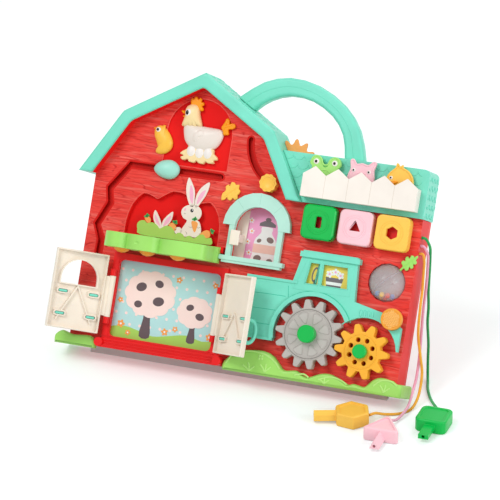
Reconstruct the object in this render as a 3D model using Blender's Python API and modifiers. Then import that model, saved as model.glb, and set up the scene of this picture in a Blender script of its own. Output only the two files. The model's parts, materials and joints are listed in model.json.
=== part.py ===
"""A farm busy board for a baby: a barn panel with doors, gears, sliders, pop-up animals and keys on cords.

Lengths are in metres. The board is modelled upright, with X to its right, Y to its back and Z up it, and
one empty then leans it back on its rear stand. The keys and their cords lie on the floor in world space.
"""

import math

import bmesh
import bpy
from mathutils import Matrix, Vector

# Lean, clearances and common sheet sizes
LEAN = math.radians(27.7)
GAP = 0.0003
RUNNING_GAP = 0.0004
OVERRUN = 0.004
FUSE = 0.0008
ROUND_STEPS = 24
SMALL_ROUND_STEPS = 14
FLOOR_CLEARANCE = 0.001
WELD = 0.000001
FLAT_ANGLE = math.radians(0.5)
SHARP_ANGLE = math.radians(35)
MITRE_LIMIT_SHARE = 0.2

# Body shell and back cover
BODY_HALF_WIDTH = 0.1966
BODY_BOTTOM = 0.003
BODY_BACK = 0.038
SHELL_BACK = 0.030
SHELL_WALL = 0.003
COVER_WALL = 0.0025
FOOT_RAIL_MARGIN = 0.0166
FOOT_RAIL_HALF_LENGTH = BODY_HALF_WIDTH - FOOT_RAIL_MARGIN
FOOT_RAIL_LIP = 0.002
ANNEX_OVERHANG = 0.0014
ANNEX_SHELL_RIGHT = BODY_HALF_WIDTH - ANNEX_OVERHANG
BOARD_Y = -BODY_BACK * math.cos(LEAN)
BOARD_Z = BODY_BACK * math.sin(LEAN) + FLOOR_CLEARANCE

# Gable
GABLE_X = -0.078
TRACK_Z = 0.215
TRACK_ABOVE_EAVE = 0.0155
EAVE_Z = TRACK_Z - TRACK_ABOVE_EAVE
GABLE_EAVE = 0.1175
GABLE_KINK = 0.0806
KINK_RISE = 0.0641
KINK_Z = EAVE_Z + KINK_RISE
PEAK_RISE = 0.0489
GABLE_TOP = KINK_Z + PEAK_RISE
RIM_WALL = 0.003
RIM_FRONT = -0.014

# Roof trim and annex roof
TRIM_WIDTH = 0.0145
TRIM_FRONT = -0.017
TRIM_SHEET = 0.0027
ROOF_WALL = 0.0025
ANNEX_GAP = 0.0005
ANNEX_HEIGHT = 0.055
ANNEX_BOTTOM = EAVE_Z + ANNEX_GAP
ANNEX_TOP = ANNEX_BOTTOM + ANNEX_HEIGHT
ANNEX_RIGHT = BODY_HALF_WIDTH + ANNEX_OVERHANG
ANNEX_FRONT = -0.006
ANNEX_CORNER = 0.0065

# Carrying handle
HANDLE_X = 0.01875
HANDLE_DROP = 0.0142
HANDLE_Z = ANNEX_TOP - HANDLE_DROP
HANDLE_RADIUS = 0.098
HANDLE_Y = 0.018
HANDLE_THICKNESS = 0.017
HANDLE_ROUND = 0.004
HANDLE_OUTER_SHARES = [
    (-0.90, 0.46), (-0.78, 0.58), (-0.61, 0.72), (-0.36, 0.91), (-0.05, 1.0), (0.31, 0.95),
    (0.65, 0.76), (0.87, 0.50), (0.98, 0.18), (0.99, 0.04),
]
HANDLE_INNER_SHARES = [
    (0.75, 0.04), (0.74, 0.18), (0.68, 0.42), (0.52, 0.62), (0.26, 0.76), (-0.02, 0.79),
    (-0.25, 0.71), (-0.40, 0.59), (-0.52, 0.46), (-0.62, 0.36),
]

# Arched recess behind the hen
HEN_ARCH_X = -0.079
HEN_ARCH_RADIUS = 0.039
HEN_ARCH_DROP = 0.0515
HEN_ARCH_LIFT = 0.007
HEN_ARCH_Z = GABLE_TOP - HEN_ARCH_DROP
HEN_ARCH_BOTTOM = TRACK_Z + HEN_ARCH_LIFT
HEN_ARCH_DEPTH = 0.0015

# Egg and its bent track
TRACK_WIDTH = 0.0065
TRACK_RIGHT = -0.0458
TRACK_LEFT = -0.1559
TRACK_DROP = 0.1064
TRACK_BEND_SHARES = [(-0.198, 0.283), (-0.164, 0.438), (-0.277, 0.684), (-0.205, 0.842), (-0.210, 1.0)]
EGG_X = -0.1104
EGG_LENGTH = 0.0317
EGG_HEIGHT = 0.0226
EGG_DEPTH = 0.009
SLIDER_STEM_RADIUS = 0.0022
SLIDER_HEAD_RADIUS = 0.0065
SLIDER_HEAD_THICKNESS = 0.0016

# Sun disc and the knob that moves it
SUN_PIVOT_X = 0.0355
SUN_PIVOT_LIFT = 0.0085
SUN_PIVOT_Z = ANNEX_TOP + SUN_PIVOT_LIFT
SUN_TRACK_RADIUS = 0.0525
SUN_KNOB_REST = math.radians(246.3)
SUN_KNOB_TRAVEL = math.radians(64.8)
SUN_KNOB_RADIUS = 0.0105
SUN_KNOB_FRONT = -0.011
SUN_KNOB_DISH = 0.0017
SUN_KNOB_LOBES = 10
SUN_LOBE_SHARE = 0.05
SUN_DISH_SHARE = 0.68
SUN_RAY_POWER = 1.5
SUN_X = 0.033
SUN_DROP = 0.010
SUN_Z = ANNEX_TOP - SUN_DROP
SUN_RADIUS = 0.026
SUN_ROOT_SHARE = 0.74
SUN_RAYS = 12
SUN_FRONT = 0.012
SUN_THICKNESS = 0.003
SUN_TRAVEL = 0.0195

# Hen, its nest and the chick
FIGURE_BACK = -0.0003
HEN_BODY_X = -0.0737
HEN_BODY_DROP = 0.006
HEN_BODY_Z = HEN_ARCH_Z - HEN_BODY_DROP
HEN_BODY_WIDTH = 0.0482
HEN_BODY_HEIGHT = 0.030
HEN_BODY_DEPTH = 0.007
HEN_HEAD_X = -0.0883
HEN_HEAD_RISE = 0.027
HEN_HEAD_Z = HEN_BODY_Z + HEN_HEAD_RISE
HEN_HEAD_WIDTH = 0.024
HEN_HEAD_HEIGHT = 0.0245
HEN_HEAD_DEPTH = 0.0062
HEN_COMB_X = -0.0875
HEN_COMB_RISE = 0.0105
HEN_COMB_Z = HEN_HEAD_Z + HEN_COMB_RISE
HEN_COMB_SIZE = 0.0165
HEN_COMB_DEPTH = 0.004
HEN_TAIL_X = -0.0455
HEN_TAIL_RISE = 0.0172
HEN_TAIL_Z = HEN_BODY_Z + HEN_TAIL_RISE
HEN_TAIL_SIZE = 0.0165
HEN_TAIL_DEPTH = 0.004
HEN_NEST_X = -0.0748
HEN_NEST_DROP = 0.019
HEN_NEST_Z = HEN_BODY_Z - HEN_NEST_DROP
HEN_NEST_WIDTH = 0.0452
HEN_NEST_HEIGHT = 0.019
HEN_NEST_DEPTH = 0.0032
HEN_EGG_RADIUS = 0.0052
HEN_EGG_DEPTH = 0.0045
HEN_EGG_SPACING = 0.0097
CHICK_X = -0.1204
CHICK_RISE = 0.033
CHICK_Z = TRACK_Z + CHICK_RISE
CHICK_WIDTH = 0.024
CHICK_HEIGHT = 0.034
CHICK_DEPTH = 0.006
FIGURE_ROUND = 0.002
HEN_BODY_SHARES = [
    (-0.50, 0.46), (-0.2, 0.48), (0.10, 0.47), (0.40, 0.44), (0.49, 0.30), (0.47, 0.02), (0.36, -0.28),
    (0.12, -0.47), (-0.16, -0.47), (-0.38, -0.27), (-0.49, 0.05),
]
HEN_HEAD_SHARES = [
    (-0.50, -0.48), (-0.36, -0.20), (-0.32, 0.10), (-0.24, 0.36), (0.00, 0.50), (0.24, 0.40), (0.36, 0.12),
    (0.40, -0.20), (0.50, -0.44), (0.14, -0.50), (-0.20, -0.52),
]
HEN_COMB_SHARES = [
    (-0.40, -0.12), (-0.44, 0.42), (-0.28, 0.24), (-0.16, 0.58), (0.02, 0.30), (0.18, 0.50), (0.28, 0.20),
    (0.52, 0.22), (0.44, -0.10), (0.58, -0.34), (0.28, -0.42), (0.10, -0.40), (-0.20, -0.40),
]
HEN_TAIL_SHARES = [
    (-0.50, -0.08), (-0.28, 0.16), (-0.18, 0.44), (0.04, 0.52), (0.08, 0.20), (0.42, 0.30), (0.54, 0.06),
    (0.30, -0.12), (0.04, -0.16), (0.14, -0.50), (-0.12, -0.54), (-0.26, -0.22),
]
HEN_NEST_SHARES = [
    (-0.50, 0.16), (-0.34, 0.34), (-0.38, 0.50), (-0.2, 0.44), (0.0, 0.30), (0.2, 0.44), (0.40, 0.40),
    (0.38, 0.18), (0.50, -0.06), (0.46, -0.32), (0.28, -0.34), (0.18, -0.50), (0.04, -0.38), (-0.10, -0.50),
    (-0.24, -0.36), (-0.44, -0.40), (-0.48, -0.16), (-0.38, 0.0),
]
HEN_COLOURS = {
    "hen_body": "cream", "hen_head": "straw", "hen_comb": "orange", "hen_tail": "orange", "hen_nest": "straw",
}
CHICK_SHARES = [
    (-0.50, 0.28), (-0.42, 0.44), (-0.2, 0.50), (0.10, 0.46), (0.32, 0.24), (0.46, -0.10), (0.36, -0.38),
    (0.10, -0.50), (-0.30, -0.44), (-0.34, -0.32), (-0.12, -0.20), (-0.20, 0.02), (-0.40, 0.14),
]

# Small leaves
LEAF_DEPTH = 0.0026
LEAF_YELLOW_X = -0.030
LEAF_YELLOW_Z = 0.2005
LEAF_YELLOW_WIDTH = 0.0215
LEAF_YELLOW_HEIGHT = 0.0215
LEAF_YELLOW_SHARES = [
    (-0.48, -0.50), (-0.46, -0.18), (-0.30, 0.06), (-0.28, 0.26), (-0.10, 0.34), (-0.02, 0.50), (0.16, 0.40),
    (0.36, 0.40), (0.36, 0.20), (0.50, 0.04), (0.38, -0.10), (0.40, -0.30), (0.20, -0.32), (0.04, -0.44),
    (-0.10, -0.30), (-0.26, -0.36), (-0.34, -0.50),
]
LEAF_GREEN_X = 0.1887
LEAF_GREEN_Z = 0.1496
LEAF_GREEN_WIDTH = 0.0185
LEAF_GREEN_HEIGHT = 0.019
LEAF_GREEN_SHARES = [
    (-0.50, -0.44), (-0.36, -0.24), (-0.44, 0.0), (-0.24, 0.08), (-0.22, 0.30), (-0.02, 0.26), (0.12, 0.46),
    (0.26, 0.34), (0.50, 0.50), (0.40, 0.22), (0.48, 0.02), (0.28, -0.04), (0.26, -0.26), (0.06, -0.22),
    (-0.04, -0.44), (-0.26, -0.34), (-0.40, -0.52),
]

# Bush recess, the flap over it and the rabbit card
BUSH_X = -0.094
BUSH_Z = 0.1317
BUSH_WIDTH = 0.113
BUSH_HEIGHT = 0.061
BUSH_RECESS_FLOOR = 0.006
BUSH_TUB_WALL = 0.0025
BUSH_SHARES = [
    (-0.50, 0.0), (-0.50, 0.30), (-0.46, 0.62), (-0.36, 0.86), (-0.24, 0.82), (-0.19, 0.80), (-0.05, 0.97),
    (0.10, 0.94), (0.22, 0.80), (0.36, 0.86), (0.47, 0.62), (0.50, 0.30), (0.50, 0.0),
]
FLAP_AXIS_Y = -0.0035
FLAP_AXIS_Z = 0.1329
FLAP_LEFT = -0.157
FLAP_RIGHT = -0.030
FLAP_REACH = 0.0535
FLAP_FRONT_DEPTH = 0.0155
FLAP_REAR_DEPTH = 0.0015
FLAP_WALL = 0.0022
FLAP_BARREL_RADIUS = 0.003
FLAP_PIN_RADIUS = 0.0012
FLAP_LUG_WIDTH = 0.003
FLAP_LUG_HALF_HEIGHT = 0.0035
FLAP_NOTCH_RADIUS = 0.004
FLAP_HEM = 0.006
FLAP_NOTCH_SHARE = 0.155
FLAP_LOBE_SHARES = [
    (-0.5, 0.0), (-0.5, 0.64), (-0.46, 0.88), (-0.39, 0.99), (-0.32, 0.96), (-0.27, 0.84), (-0.22, 0.95),
    (-0.14, 1.0), (-0.05, 0.98), (0.0, 0.92), (0.04, 0.82), (0.09, 0.93), (0.2, 1.0), (0.32, 0.99),
    (0.43, 0.92), (0.475, 0.80), (0.479, 0.55), (0.479, 0.28), (0.5, 0.20),
    (0.5, 0.0),
]
CARROT_PLACE_SHARES = [-0.358, -0.114, 0.177]
CARROT_REACH_SHARE = 0.5
CARROT_RADIUS = 0.0105
CARROT_PROUD = 0.0058
CARROT_SHEET = 0.0012
CARD_FRONT = -0.0016
CARD_BACK = -0.0004
CARD_BOTTOM = 0.1365
CARD_X = -0.0895
CARD_WIDTH = 0.093
CARD_HEIGHT = 0.0725
CARD_SHARES = [
    (-0.50, 0.0), (-0.50, 0.16), (-0.44, 0.24), (-0.36, 0.23), (-0.34, 0.26), (-0.32, 0.40), (-0.27, 0.34),
    (-0.20, 0.20), (-0.12, 0.34), (-0.06, 0.40), (-0.06, 0.28), (-0.12, 0.15), (0.0, 0.10), (0.08, 0.16),
    (0.11, 0.30), (0.06, 0.40), (0.08, 0.52), (0.14, 0.60), (0.12, 0.78), (0.14, 0.98), (0.20, 0.90),
    (0.22, 0.66), (0.27, 0.78), (0.34, 0.94), (0.36, 0.84), (0.28, 0.62), (0.30, 0.50), (0.27, 0.36),
    (0.30, 0.18), (0.38, 0.17), (0.44, 0.10), (0.50, 0.06), (0.50, 0.0),
]

# Window frame, its picture and shutter
WINDOW_X = 0.0083
WINDOW_FRONT = -0.008
WINDOW_ARCH_Z = 0.163
WINDOW_BAND = 0.014
WINDOW_OUTER = 0.040
WINDOW_JAMB_HALF = 0.0321
WINDOW_OPENING_Z = 0.161
SILL_HALF_WIDTH = 0.038
SILL_LOW = 0.120
SILL_HIGH = 0.128
SILL_STEP = 0.003
SHUTTER_RIGHT = -0.007
SHUTTER_WIDTH = 0.0545
SHUTTER_TRAVEL = 0.038
SHUTTER_FRONT = 0.0092
SHUTTER_SHEET = 0.0016
SHUTTER_TOP = 0.1885
SHUTTER_BOTTOM = 0.1245
SHUTTER_TAB_FRONT = -0.0115
SHUTTER_TAB_WIDTH = 0.011
SHUTTER_TAB_LOW = 0.1405
SHUTTER_TAB_HIGH = 0.1575
SHUTTER_NECK = 0.004
PICTURE_SHEET = 0.0015
RAIL_HEIGHT = 0.004
RAIL_HALF_LENGTH = 0.0545

# Doorway, its frame, sill and picture
DOORWAY_LEFT = -0.149
DOORWAY_RIGHT = -0.024
DOORWAY_LOW = 0.0165
DOORWAY_HIGH = 0.106
DOORWAY_CORNER = 0.004
DOORWAY_LAP = 0.004
FRAME_WIDTH = 0.007
FRAME_FRONT = -0.005
DOOR_SILL_LEFT = -0.156
DOOR_SILL_RIGHT = -0.012
DOOR_SILL_LOW = 0.003
DOOR_SILL_HIGH = 0.0158
DOOR_SILL_FRONT = -0.012
DOOR_SILL_STEPS = 4
SILL_BOSS_RADIUS = 0.0052
SILL_BOSS_FRONT = -0.0135

# Doors; the left one is swung about an axis upright on the board, the right one about another
DOOR_AXIS_Y = -0.009
DOOR_THICKNESS = 0.007
DOOR_FLOOR = 0.002
DOOR_BORDER = 0.0018
DOOR_START = 0.008
DOOR_LOW = 0.0170
DOOR_HIGH = 0.1076
KNUCKLE_RADIUS = 0.0036
HINGE_PIN_RADIUS = 0.0015
FRAME_KNUCKLE = 0.0075
LEFT_DOOR_AXIS = -0.152
LEFT_DOOR_WIDTH = 0.069
LEFT_DOOR_OPEN = math.radians(147)
LEFT_BARREL_LOW = 0.038
LEFT_BARREL_HIGH = 0.085
RIGHT_DOOR_AXIS = -0.0217
RIGHT_DOOR_WIDTH = 0.060
RIGHT_DOOR_OPEN = math.radians(145)
RIGHT_BARREL_LOW = 0.036
RIGHT_BARREL_HIGH = 0.083
DOOR_ARCH_LOW = 0.069
DOOR_ARCH_HALF = 0.021
DOOR_ARCH_HEIGHT = 0.028
DOOR_RIB = 0.0014
DOOR_RIB_DEPTH = 0.0028
CLIP_LENGTH = 0.0105
CLIP_HEIGHT = 0.0028
CLIP_HIGH_Z = 0.0597
CLIP_LOW_Z = 0.034
CLIP_NEAR = 0.019
LEFT_CLIP_SPACING = 0.036
RIGHT_CLIP_SPACING = 0.033
HANDLE_PLATE = 0.002
LOOP_REACH = 0.0185
LOOP_HALF_HEIGHT = 0.015
LOOP_BAR = 0.0045
LOOP_INSET = 0.004

# Fence tray and the three pop-up animals
FENCE_LEFT = 0.057
FENCE_RIGHT = 0.191
FENCE_LIFT = 0.006
FENCE_HEIGHT = 0.035
FENCE_NOTCH = 0.0095
FENCE_LOW = ANNEX_BOTTOM + FENCE_LIFT
FENCE_PEAK = FENCE_LOW + FENCE_HEIGHT
FENCE_VALLEY = FENCE_PEAK - FENCE_NOTCH
FENCE_PICKETS = 5
FENCE_FRONT = -0.022
FENCE_BACK = -0.0063
FENCE_WALL = 0.002
POPUP_FRONT = -0.014
POPUP_THICKNESS = 0.0045
POPUP_LIFT = 0.0208
POPUP_LOW = FENCE_LOW + POPUP_LIFT
POPUP_TRAVEL = 0.018
POPUP_STEM_RISE = 0.0042
POPUP_STEM_Z = POPUP_LOW + POPUP_STEM_RISE
POPUP_STEM_RADIUS = 0.002
FROG_X = 0.0787
PIG_X = 0.1217
POP_CHICK_X = 0.1664
FROG_SIZE = 0.036
PIG_SIZE = 0.033
POP_CHICK_SIZE = 0.032
FROG_SHARES = [
    (-0.42, 0.0), (-0.44, 0.24), (-0.42, 0.40), (-0.50, 0.52), (-0.44, 0.70), (-0.30, 0.76), (-0.16, 0.68),
    (-0.10, 0.54), (0.0, 0.50), (0.10, 0.54), (0.16, 0.68), (0.30, 0.76), (0.44, 0.70), (0.50, 0.52),
    (0.42, 0.40), (0.44, 0.24), (0.42, 0.0),
]
PIG_SHARES = [
    (-0.50, 0.0), (-0.46, 0.34), (-0.40, 0.56), (-0.44, 0.82), (-0.34, 0.86), (-0.22, 0.72), (0.0, 0.76),
    (0.22, 0.72), (0.40, 0.86), (0.48, 0.80), (0.42, 0.56), (0.46, 0.34), (0.50, 0.0),
]
POP_CHICK_SHARES = [
    (-0.46, 0.0), (-0.50, 0.30), (-0.42, 0.56), (-0.24, 0.76), (-0.18, 0.84), (-0.16, 0.96), (-0.04, 0.84),
    (0.04, 0.92), (0.06, 0.82), (0.26, 0.74), (0.44, 0.54), (0.50, 0.28), (0.46, 0.0),
]

# Lock blocks and their plungers
BLOCK_FIRST_X = 0.081
BLOCK_PITCH = 0.043
BLOCK_DROP = 0.0265
BLOCK_Z = FENCE_LOW - BLOCK_DROP
BLOCK_WIDTH = 0.039
BLOCK_FRONT = -0.014
BLOCK_BACK = -0.0003
BLOCK_CORNER = 0.006
BLOCK_ROUND = 0.0022
BLOCK_FACE = 0.0047
PLUNGER_RADIUS = 0.0097
PLUNGER_SHEET = 0.003
PLUNGER_REST = -0.0045
PLUNGER_STEM_RADIUS = 0.003
PLUNGER_STEM_END = 0.0092
PLUNGER_HEAD_RADIUS = 0.0055
SLOT_HALF_WIDTH = 0.00325
SLOT_HALF_HEIGHT = 0.0063
KEYHOLE_RADIUS = 0.0075

# Tractor, its picture and headlight
TRACTOR_FRONT = -0.008
TRACTOR_RAISED = -0.0105
TRACTOR_LIP = 0.003
CAB_LEFT = 0.0685
CAB_RIGHT = 0.1325
CAB_TOP = 0.1455
CAB_ROOF = 0.006
CAB_WINDOW_LOW = 0.104
CAB_WINDOW_HIGH = 0.134
CAB_POST = 0.003
CAB_LEAN = 0.22
CAB_SPLIT_SHARE = 0.33
FENDER_DROP = math.radians(16)
HOOD_Z = 0.098
HOOD_END_X = 0.1693
HOOD_END_Z = 0.0907
FENDER_RIGHT = 0.193
FENDER_TOP = 0.0763
FENDER_LOW = 0.050
TRAILER_LEFT = 0.0086
TRAILER_TOP = 0.1112
TRAILER_LOW = 0.0407
HEADLIGHT_X = 0.1822
HEADLIGHT_Z = 0.085
HEADLIGHT_RADIUS = 0.0122
HEADLIGHT_FRONT = -0.015
HEADLIGHT_BACK = -0.0082
HEADLIGHT_POCKET = -0.005
HEADLIGHT_STEM_RADIUS = 0.0035
HEADLIGHT_STEM_END = 0.005

# Gears and hubs
GREY_X = 0.0907
GREY_Z = 0.0543
GREY_TEETH = 14
GREY_TIP = 0.039
GREY_ROOT = 0.030
GREY_TURN = math.radians(100.9)
YELLOW_X = 0.1539
YELLOW_Z = 0.0444
YELLOW_TEETH = 10
YELLOW_TIP = 0.031
YELLOW_ROOT = 0.0223
GEAR_FRONT = -0.016
GEAR_BACK = -0.0035
GEAR_DISH = 0.0015
GREY_RELIEFS = 8
GREY_RELIEF_INNER = 0.0125
GREY_RELIEF_OUTER = 0.0245
GREY_RING = 0.0273
RELIEF_HALF_ANGLE = math.radians(15)
YELLOW_HOLES = 8
YELLOW_HOLE_RADIUS = 0.0027
YELLOW_HOLE_CIRCLE = 0.0135
TOOTH_ROOT_SHARE = 0.36
TOOTH_TIP_SHARE = 0.15
HUB_STEM_RADIUS = 0.004
HUB_BOSS_RADIUS = 0.008
GREY_HUB_RADIUS = 0.010
GREY_HUB_FRONT = -0.0265
YELLOW_HUB_RADIUS = 0.008
YELLOW_HUB_FRONT = -0.024
FENDER_GREY_RADIUS = 0.043
FENDER_BAND = 0.005
FENDER_YELLOW_RADIUS = 0.038

# Rattle ball
BALL_INSET = 0.030
BALL_X = BODY_HALF_WIDTH - BALL_INSET
BALL_Z = 0.1246
BALL_Y = 0.006
BALL_RADIUS = 0.0215
BALL_WALL = 0.0015
BALL_HOLE = 0.0218
BALL_VENT = 0.0015
TRUNNION_RADIUS = 0.002
TRUNNION_LENGTH = 0.004
EAR_WIDTH = 0.009
BEAD_RADIUS = 0.0026
BEAD_PLACE_SHARES = [(0, 0, 0), (1.5, 0.4, 0.3), (-1.5, 0.3, 0.3), (0.6, -1.4, 0.2), (-0.5, 1.4, 0.3),
                     (0.2, 0.2, 1.5)]

# Grass along the bottom
GRASS_FRONT = -0.008
GRASS_END = 0.0075
GRASS_END_HEIGHT = 0.0150
GRASS_RIGHT_START = -0.0062
GRASS_LEFT_END = -0.1618
GRASS_LEFT_HEIGHT = 0.0150
GRASS_LEFT_SHARE = 0.6
GRASS_LEFT_SHARES = [
    (0.0, 0.0), (0.0, 0.6), (0.15, 1.0), (0.30, 0.9), (0.45, 0.8), (0.85, 0.9), (1.0, 0.4), (1.0, 0.0),
]
GRASS_HEIGHT = 0.028
GRASS_SHARES = [
    (0.0, 0.0), (0.0, 0.26), (0.03, 0.55), (0.09, 0.74), (0.13, 0.92), (0.22, 1.0), (0.29, 0.84),
    (0.345, 0.42),
    (0.375, 0.37), (0.43, 0.43), (0.47, 0.28), (0.505, 0.25), (0.57, 0.46), (0.63, 0.50), (0.70, 0.32),
    (0.735, 0.21),
    (0.765, 0.28), (0.80, 0.24), (0.83, 0.24), (0.87, 0.55), (0.91, 0.69), (0.96, 0.66), (1.0, 0.54),
    (1.0, 0.0),
]

# Rear stand
STAND_PIVOT_Y = 0.0435
STAND_PIVOT_RISE = 0.0225
STAND_PIVOT_Z = EAVE_Z + STAND_PIVOT_RISE
STAND_PIN_RADIUS = 0.003
STAND_OPEN = math.radians(52.0)
STAND_HALF_WIDTH = 0.075
STAND_BAR = 0.020
STAND_SHEET = 0.005
STAND_LENGTH = 0.220
LUG_WIDTH = 0.006
LUG_HALF_HEIGHT = 0.007

# Cords and keys, in world space on the floor
CORD_RADIUS = 0.0016
CORD_STEP = 0.0085
CORD_HOLE = 0.0026
CORD_EXIT_Y = 0.007
KEY_HEIGHT = 0.016
KEY_ROUND = 0.0022
KEY_SHANK_MIDDLE = 0.008
KEY_FIT = 0.0005
KEY_RECESS = 0.0012
KEY_SUNK_SHARE = 0.76
KEY_EYE_RADIUS = 0.0019
KEY_EYE_DEPTH = 0.006
KEY_CORNER_SHARE = 0.26
GREEN_KEY_PLACE = (0.247, -0.050)
GREEN_KEY_HALF = 0.018
GREEN_KEY_CORNER = 0.007
GREEN_SHANK_LENGTH = 0.024
PINK_KEY_PLACE = (0.2022, -0.0935)
PINK_KEY_RADIUS = 0.0255
PINK_KEY_TURN = math.radians(92)
PINK_SHANK_LENGTH = 0.026
YELLOW_KEY_PLACE = (0.159, -0.070)
YELLOW_KEY_RADIUS = 0.021
YELLOW_KEY_TURN = math.radians(21.5)
YELLOW_SHANK_LENGTH = 0.025
GREEN_CORD_ROUTE = [
    (0.1935, 0.0563, 0.1748), (0.1970, 0.0563, 0.1748), (0.2015, 0.0567, 0.1735), (0.2058, 0.0580, 0.1640),
    (0.2062, 0.0585, 0.1530),
    (0.2060, 0.0585, 0.1380), (0.2060, 0.0560, 0.1120), (0.2060, 0.0580, 0.0900), (0.2060, 0.0560, 0.0720),
    (0.2062, 0.0610, 0.0440), (0.2062, 0.0610, 0.0250), (0.2070, 0.0590, 0.0085), (0.2105, 0.0480, 0.0020),
    (0.2160, 0.0300, 0.0018), (0.2260, 0.0080, 0.0018), (0.2390, -0.0130, 0.0035), (0.2450, -0.0240, 0.0068),
    (0.2470, -0.0316, 0.0080),
]
PINK_CORD_ROUTE = [
    (0.1935, 0.0520, 0.1668), (0.1970, 0.0520, 0.1668), (0.2010, 0.0523, 0.1655), (0.2048, 0.0528, 0.1580),
    (0.2055, 0.0525, 0.1476),
    (0.2060, 0.0470, 0.1220), (0.2070, 0.0340, 0.0970), (0.2080, 0.0260, 0.0750), (0.2090, 0.0170, 0.0490),
    (0.2100, 0.0042, 0.0293), (0.2100, -0.0083, 0.0180), (0.2103, -0.0250, 0.0085), (0.2090, -0.0410, 0.0050),
    (0.2055, -0.0550, 0.0035), (0.2034, -0.0650, 0.0072), (0.2031, -0.0708, 0.0080),
]
YELLOW_CORD_ROUTE = [
    (0.1935, 0.0478, 0.1589), (0.1970, 0.0478, 0.1589), (0.2010, 0.0478, 0.1584), (0.2028, 0.0470, 0.1500),
    (0.2028, 0.0450, 0.1370), (0.2040, 0.0380, 0.1179), (0.2055, 0.0270, 0.1050), (0.2065, 0.0180, 0.0750),
    (0.2120, 0.0110, 0.0500), (0.2150, 0.0080, 0.0330), (0.2160, -0.0010, 0.0180), (0.2155, -0.0120, 0.0080),
    (0.2120, -0.0240, 0.0018), (0.2030, -0.0370, 0.0017), (0.1900, -0.0460, 0.0030),
    (0.1815, -0.0555, 0.0075),
    (0.1768, -0.0630, 0.0080),
]

PALETTE = {
    "mint": ((0.216, 0.738, 0.584), 0.35),
    "pale_mint": ((0.462, 0.761, 0.652), 0.4),
    "red": ((0.787, 0.031, 0.024), 0.4),
    "grass": ((0.367, 0.708, 0.147), 0.4),
    "bush": ((0.407, 0.791, 0.195), 0.4),
    "card_green": ((0.392, 0.644, 0.068), 0.6),
    "orange": ((0.913, 0.342, 0.027), 0.4),
    "sun": ((1.0, 0.376, 0.102), 0.4),
    "yellow": ((0.982, 0.571, 0.102), 0.35),
    "cream": ((0.871, 0.791, 0.723), 0.4),
    "straw": ((0.913, 0.694, 0.366), 0.4),
    "green": ((0.0, 0.434, 0.080), 0.35),
    "pink": ((0.973, 0.578, 0.631), 0.35),
    "grey": ((0.485, 0.445, 0.418), 0.4),
    "egg": ((0.392, 0.791, 0.672), 0.35),
    "sky": ((0.462, 0.745, 0.745), 0.6),
    "glass": ((0.8, 0.8, 0.85), 0.1),
    "steel": ((0.6, 0.6, 0.6), 0.3),
}


def clear_scene():
    for old in list(bpy.data.objects):
        bpy.data.objects.remove(old)


def add_object(name, mesh):
    made = bpy.data.objects.new(name, mesh)
    bpy.data.collections["busy_board"].objects.link(made)
    return made


def mesh_from(shape, name):
    mesh = bpy.data.meshes.new(name)
    bmesh.ops.recalc_face_normals(shape, faces=shape.faces)
    shape.to_mesh(mesh)
    shape.free()
    return mesh


def settle(piece):
    """Turns a piece's modifiers into its own mesh and clears the specks that a cut can leave."""
    graph = bpy.context.evaluated_depsgraph_get()
    shape = bmesh.new()
    shape.from_mesh(bpy.data.meshes.new_from_object(piece.evaluated_get(graph)))
    bmesh.ops.remove_doubles(shape, verts=shape.verts, dist=WELD)
    bmesh.ops.dissolve_degenerate(shape, dist=WELD, edges=shape.edges)
    piece.modifiers.clear()
    piece.data = mesh_from(shape, piece.name)


def combine(piece, tools, operation):
    for tool in tools:
        modifier = piece.modifiers.new(operation.lower(), "BOOLEAN")
        modifier.operation = operation
        modifier.object = tool
    settle(piece)
    for tool in tools:
        bpy.data.objects.remove(tool)
    return piece


def cut(piece, *tools):
    return combine(piece, tools, "DIFFERENCE")


def join(piece, *tools):
    return combine(piece, tools, "UNION")


def soften(piece, width, segments=2):
    """Rounds every sharp edge of a piece."""
    modifier = piece.modifiers.new("rounding", "BEVEL")
    modifier.width = width
    modifier.segments = segments
    modifier.limit_method = "ANGLE"
    modifier.angle_limit = SHARP_ANGLE
    settle(piece)
    return piece


def flat_mesh(name, loops, thickness):
    """A sheet in the XY plane, centred on it: the first loop is its outline and the others are its holes."""
    curve = bpy.data.curves.new(name, "CURVE")
    curve.dimensions = "2D"
    curve.fill_mode = "BOTH"
    curve.extrude = thickness / 2
    for loop in loops:
        spline = curve.splines.new("POLY")
        spline.points.add(len(loop) - 1)
        for point, (x, y) in zip(spline.points, loop):
            point.co = (x, y, 0, 1)
        spline.use_cyclic_u = True
    guide = add_object(name, curve)
    graph = bpy.context.evaluated_depsgraph_get()
    shape = bmesh.new()
    shape.from_mesh(bpy.data.meshes.new_from_object(guide.evaluated_get(graph)))
    bpy.data.objects.remove(guide)
    bmesh.ops.remove_doubles(shape, verts=shape.verts, dist=WELD)
    bmesh.ops.dissolve_limit(shape, angle_limit=FLAT_ANGLE, verts=shape.verts, edges=shape.edges)
    return mesh_from(shape, name)


def slab(name, loops, front, back):
    """A sheet standing upright, its outline in X and Z, from a front Y to a back Y."""
    mesh = flat_mesh(name, loops, back - front)
    middle = Matrix.Translation((0, (front + back) / 2, 0))
    mesh.transform(middle @ Matrix.Rotation(math.pi / 2, 4, "X"))
    return add_object(name, mesh)


def plate(name, loops, low, high):
    """A sheet lying level, its outline in X and Y, from a low Z to a high Z."""
    mesh = flat_mesh(name, loops, high - low)
    mesh.transform(Matrix.Translation((0, 0, (low + high) / 2)))
    return add_object(name, mesh)


def rod(name, start, end, radius, sides=SMALL_ROUND_STEPS):
    start = Vector(start)
    end = Vector(end)
    shape = bmesh.new()
    turn = (end - start).to_track_quat("Z", "Y").to_matrix().to_4x4()
    bmesh.ops.create_cone(
        shape, cap_ends=True, segments=sides, radius1=radius, radius2=radius, depth=(end - start).length,
        matrix=Matrix.Translation((start + end) / 2) @ turn,
    )
    return add_object(name, mesh_from(shape, name))


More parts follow.
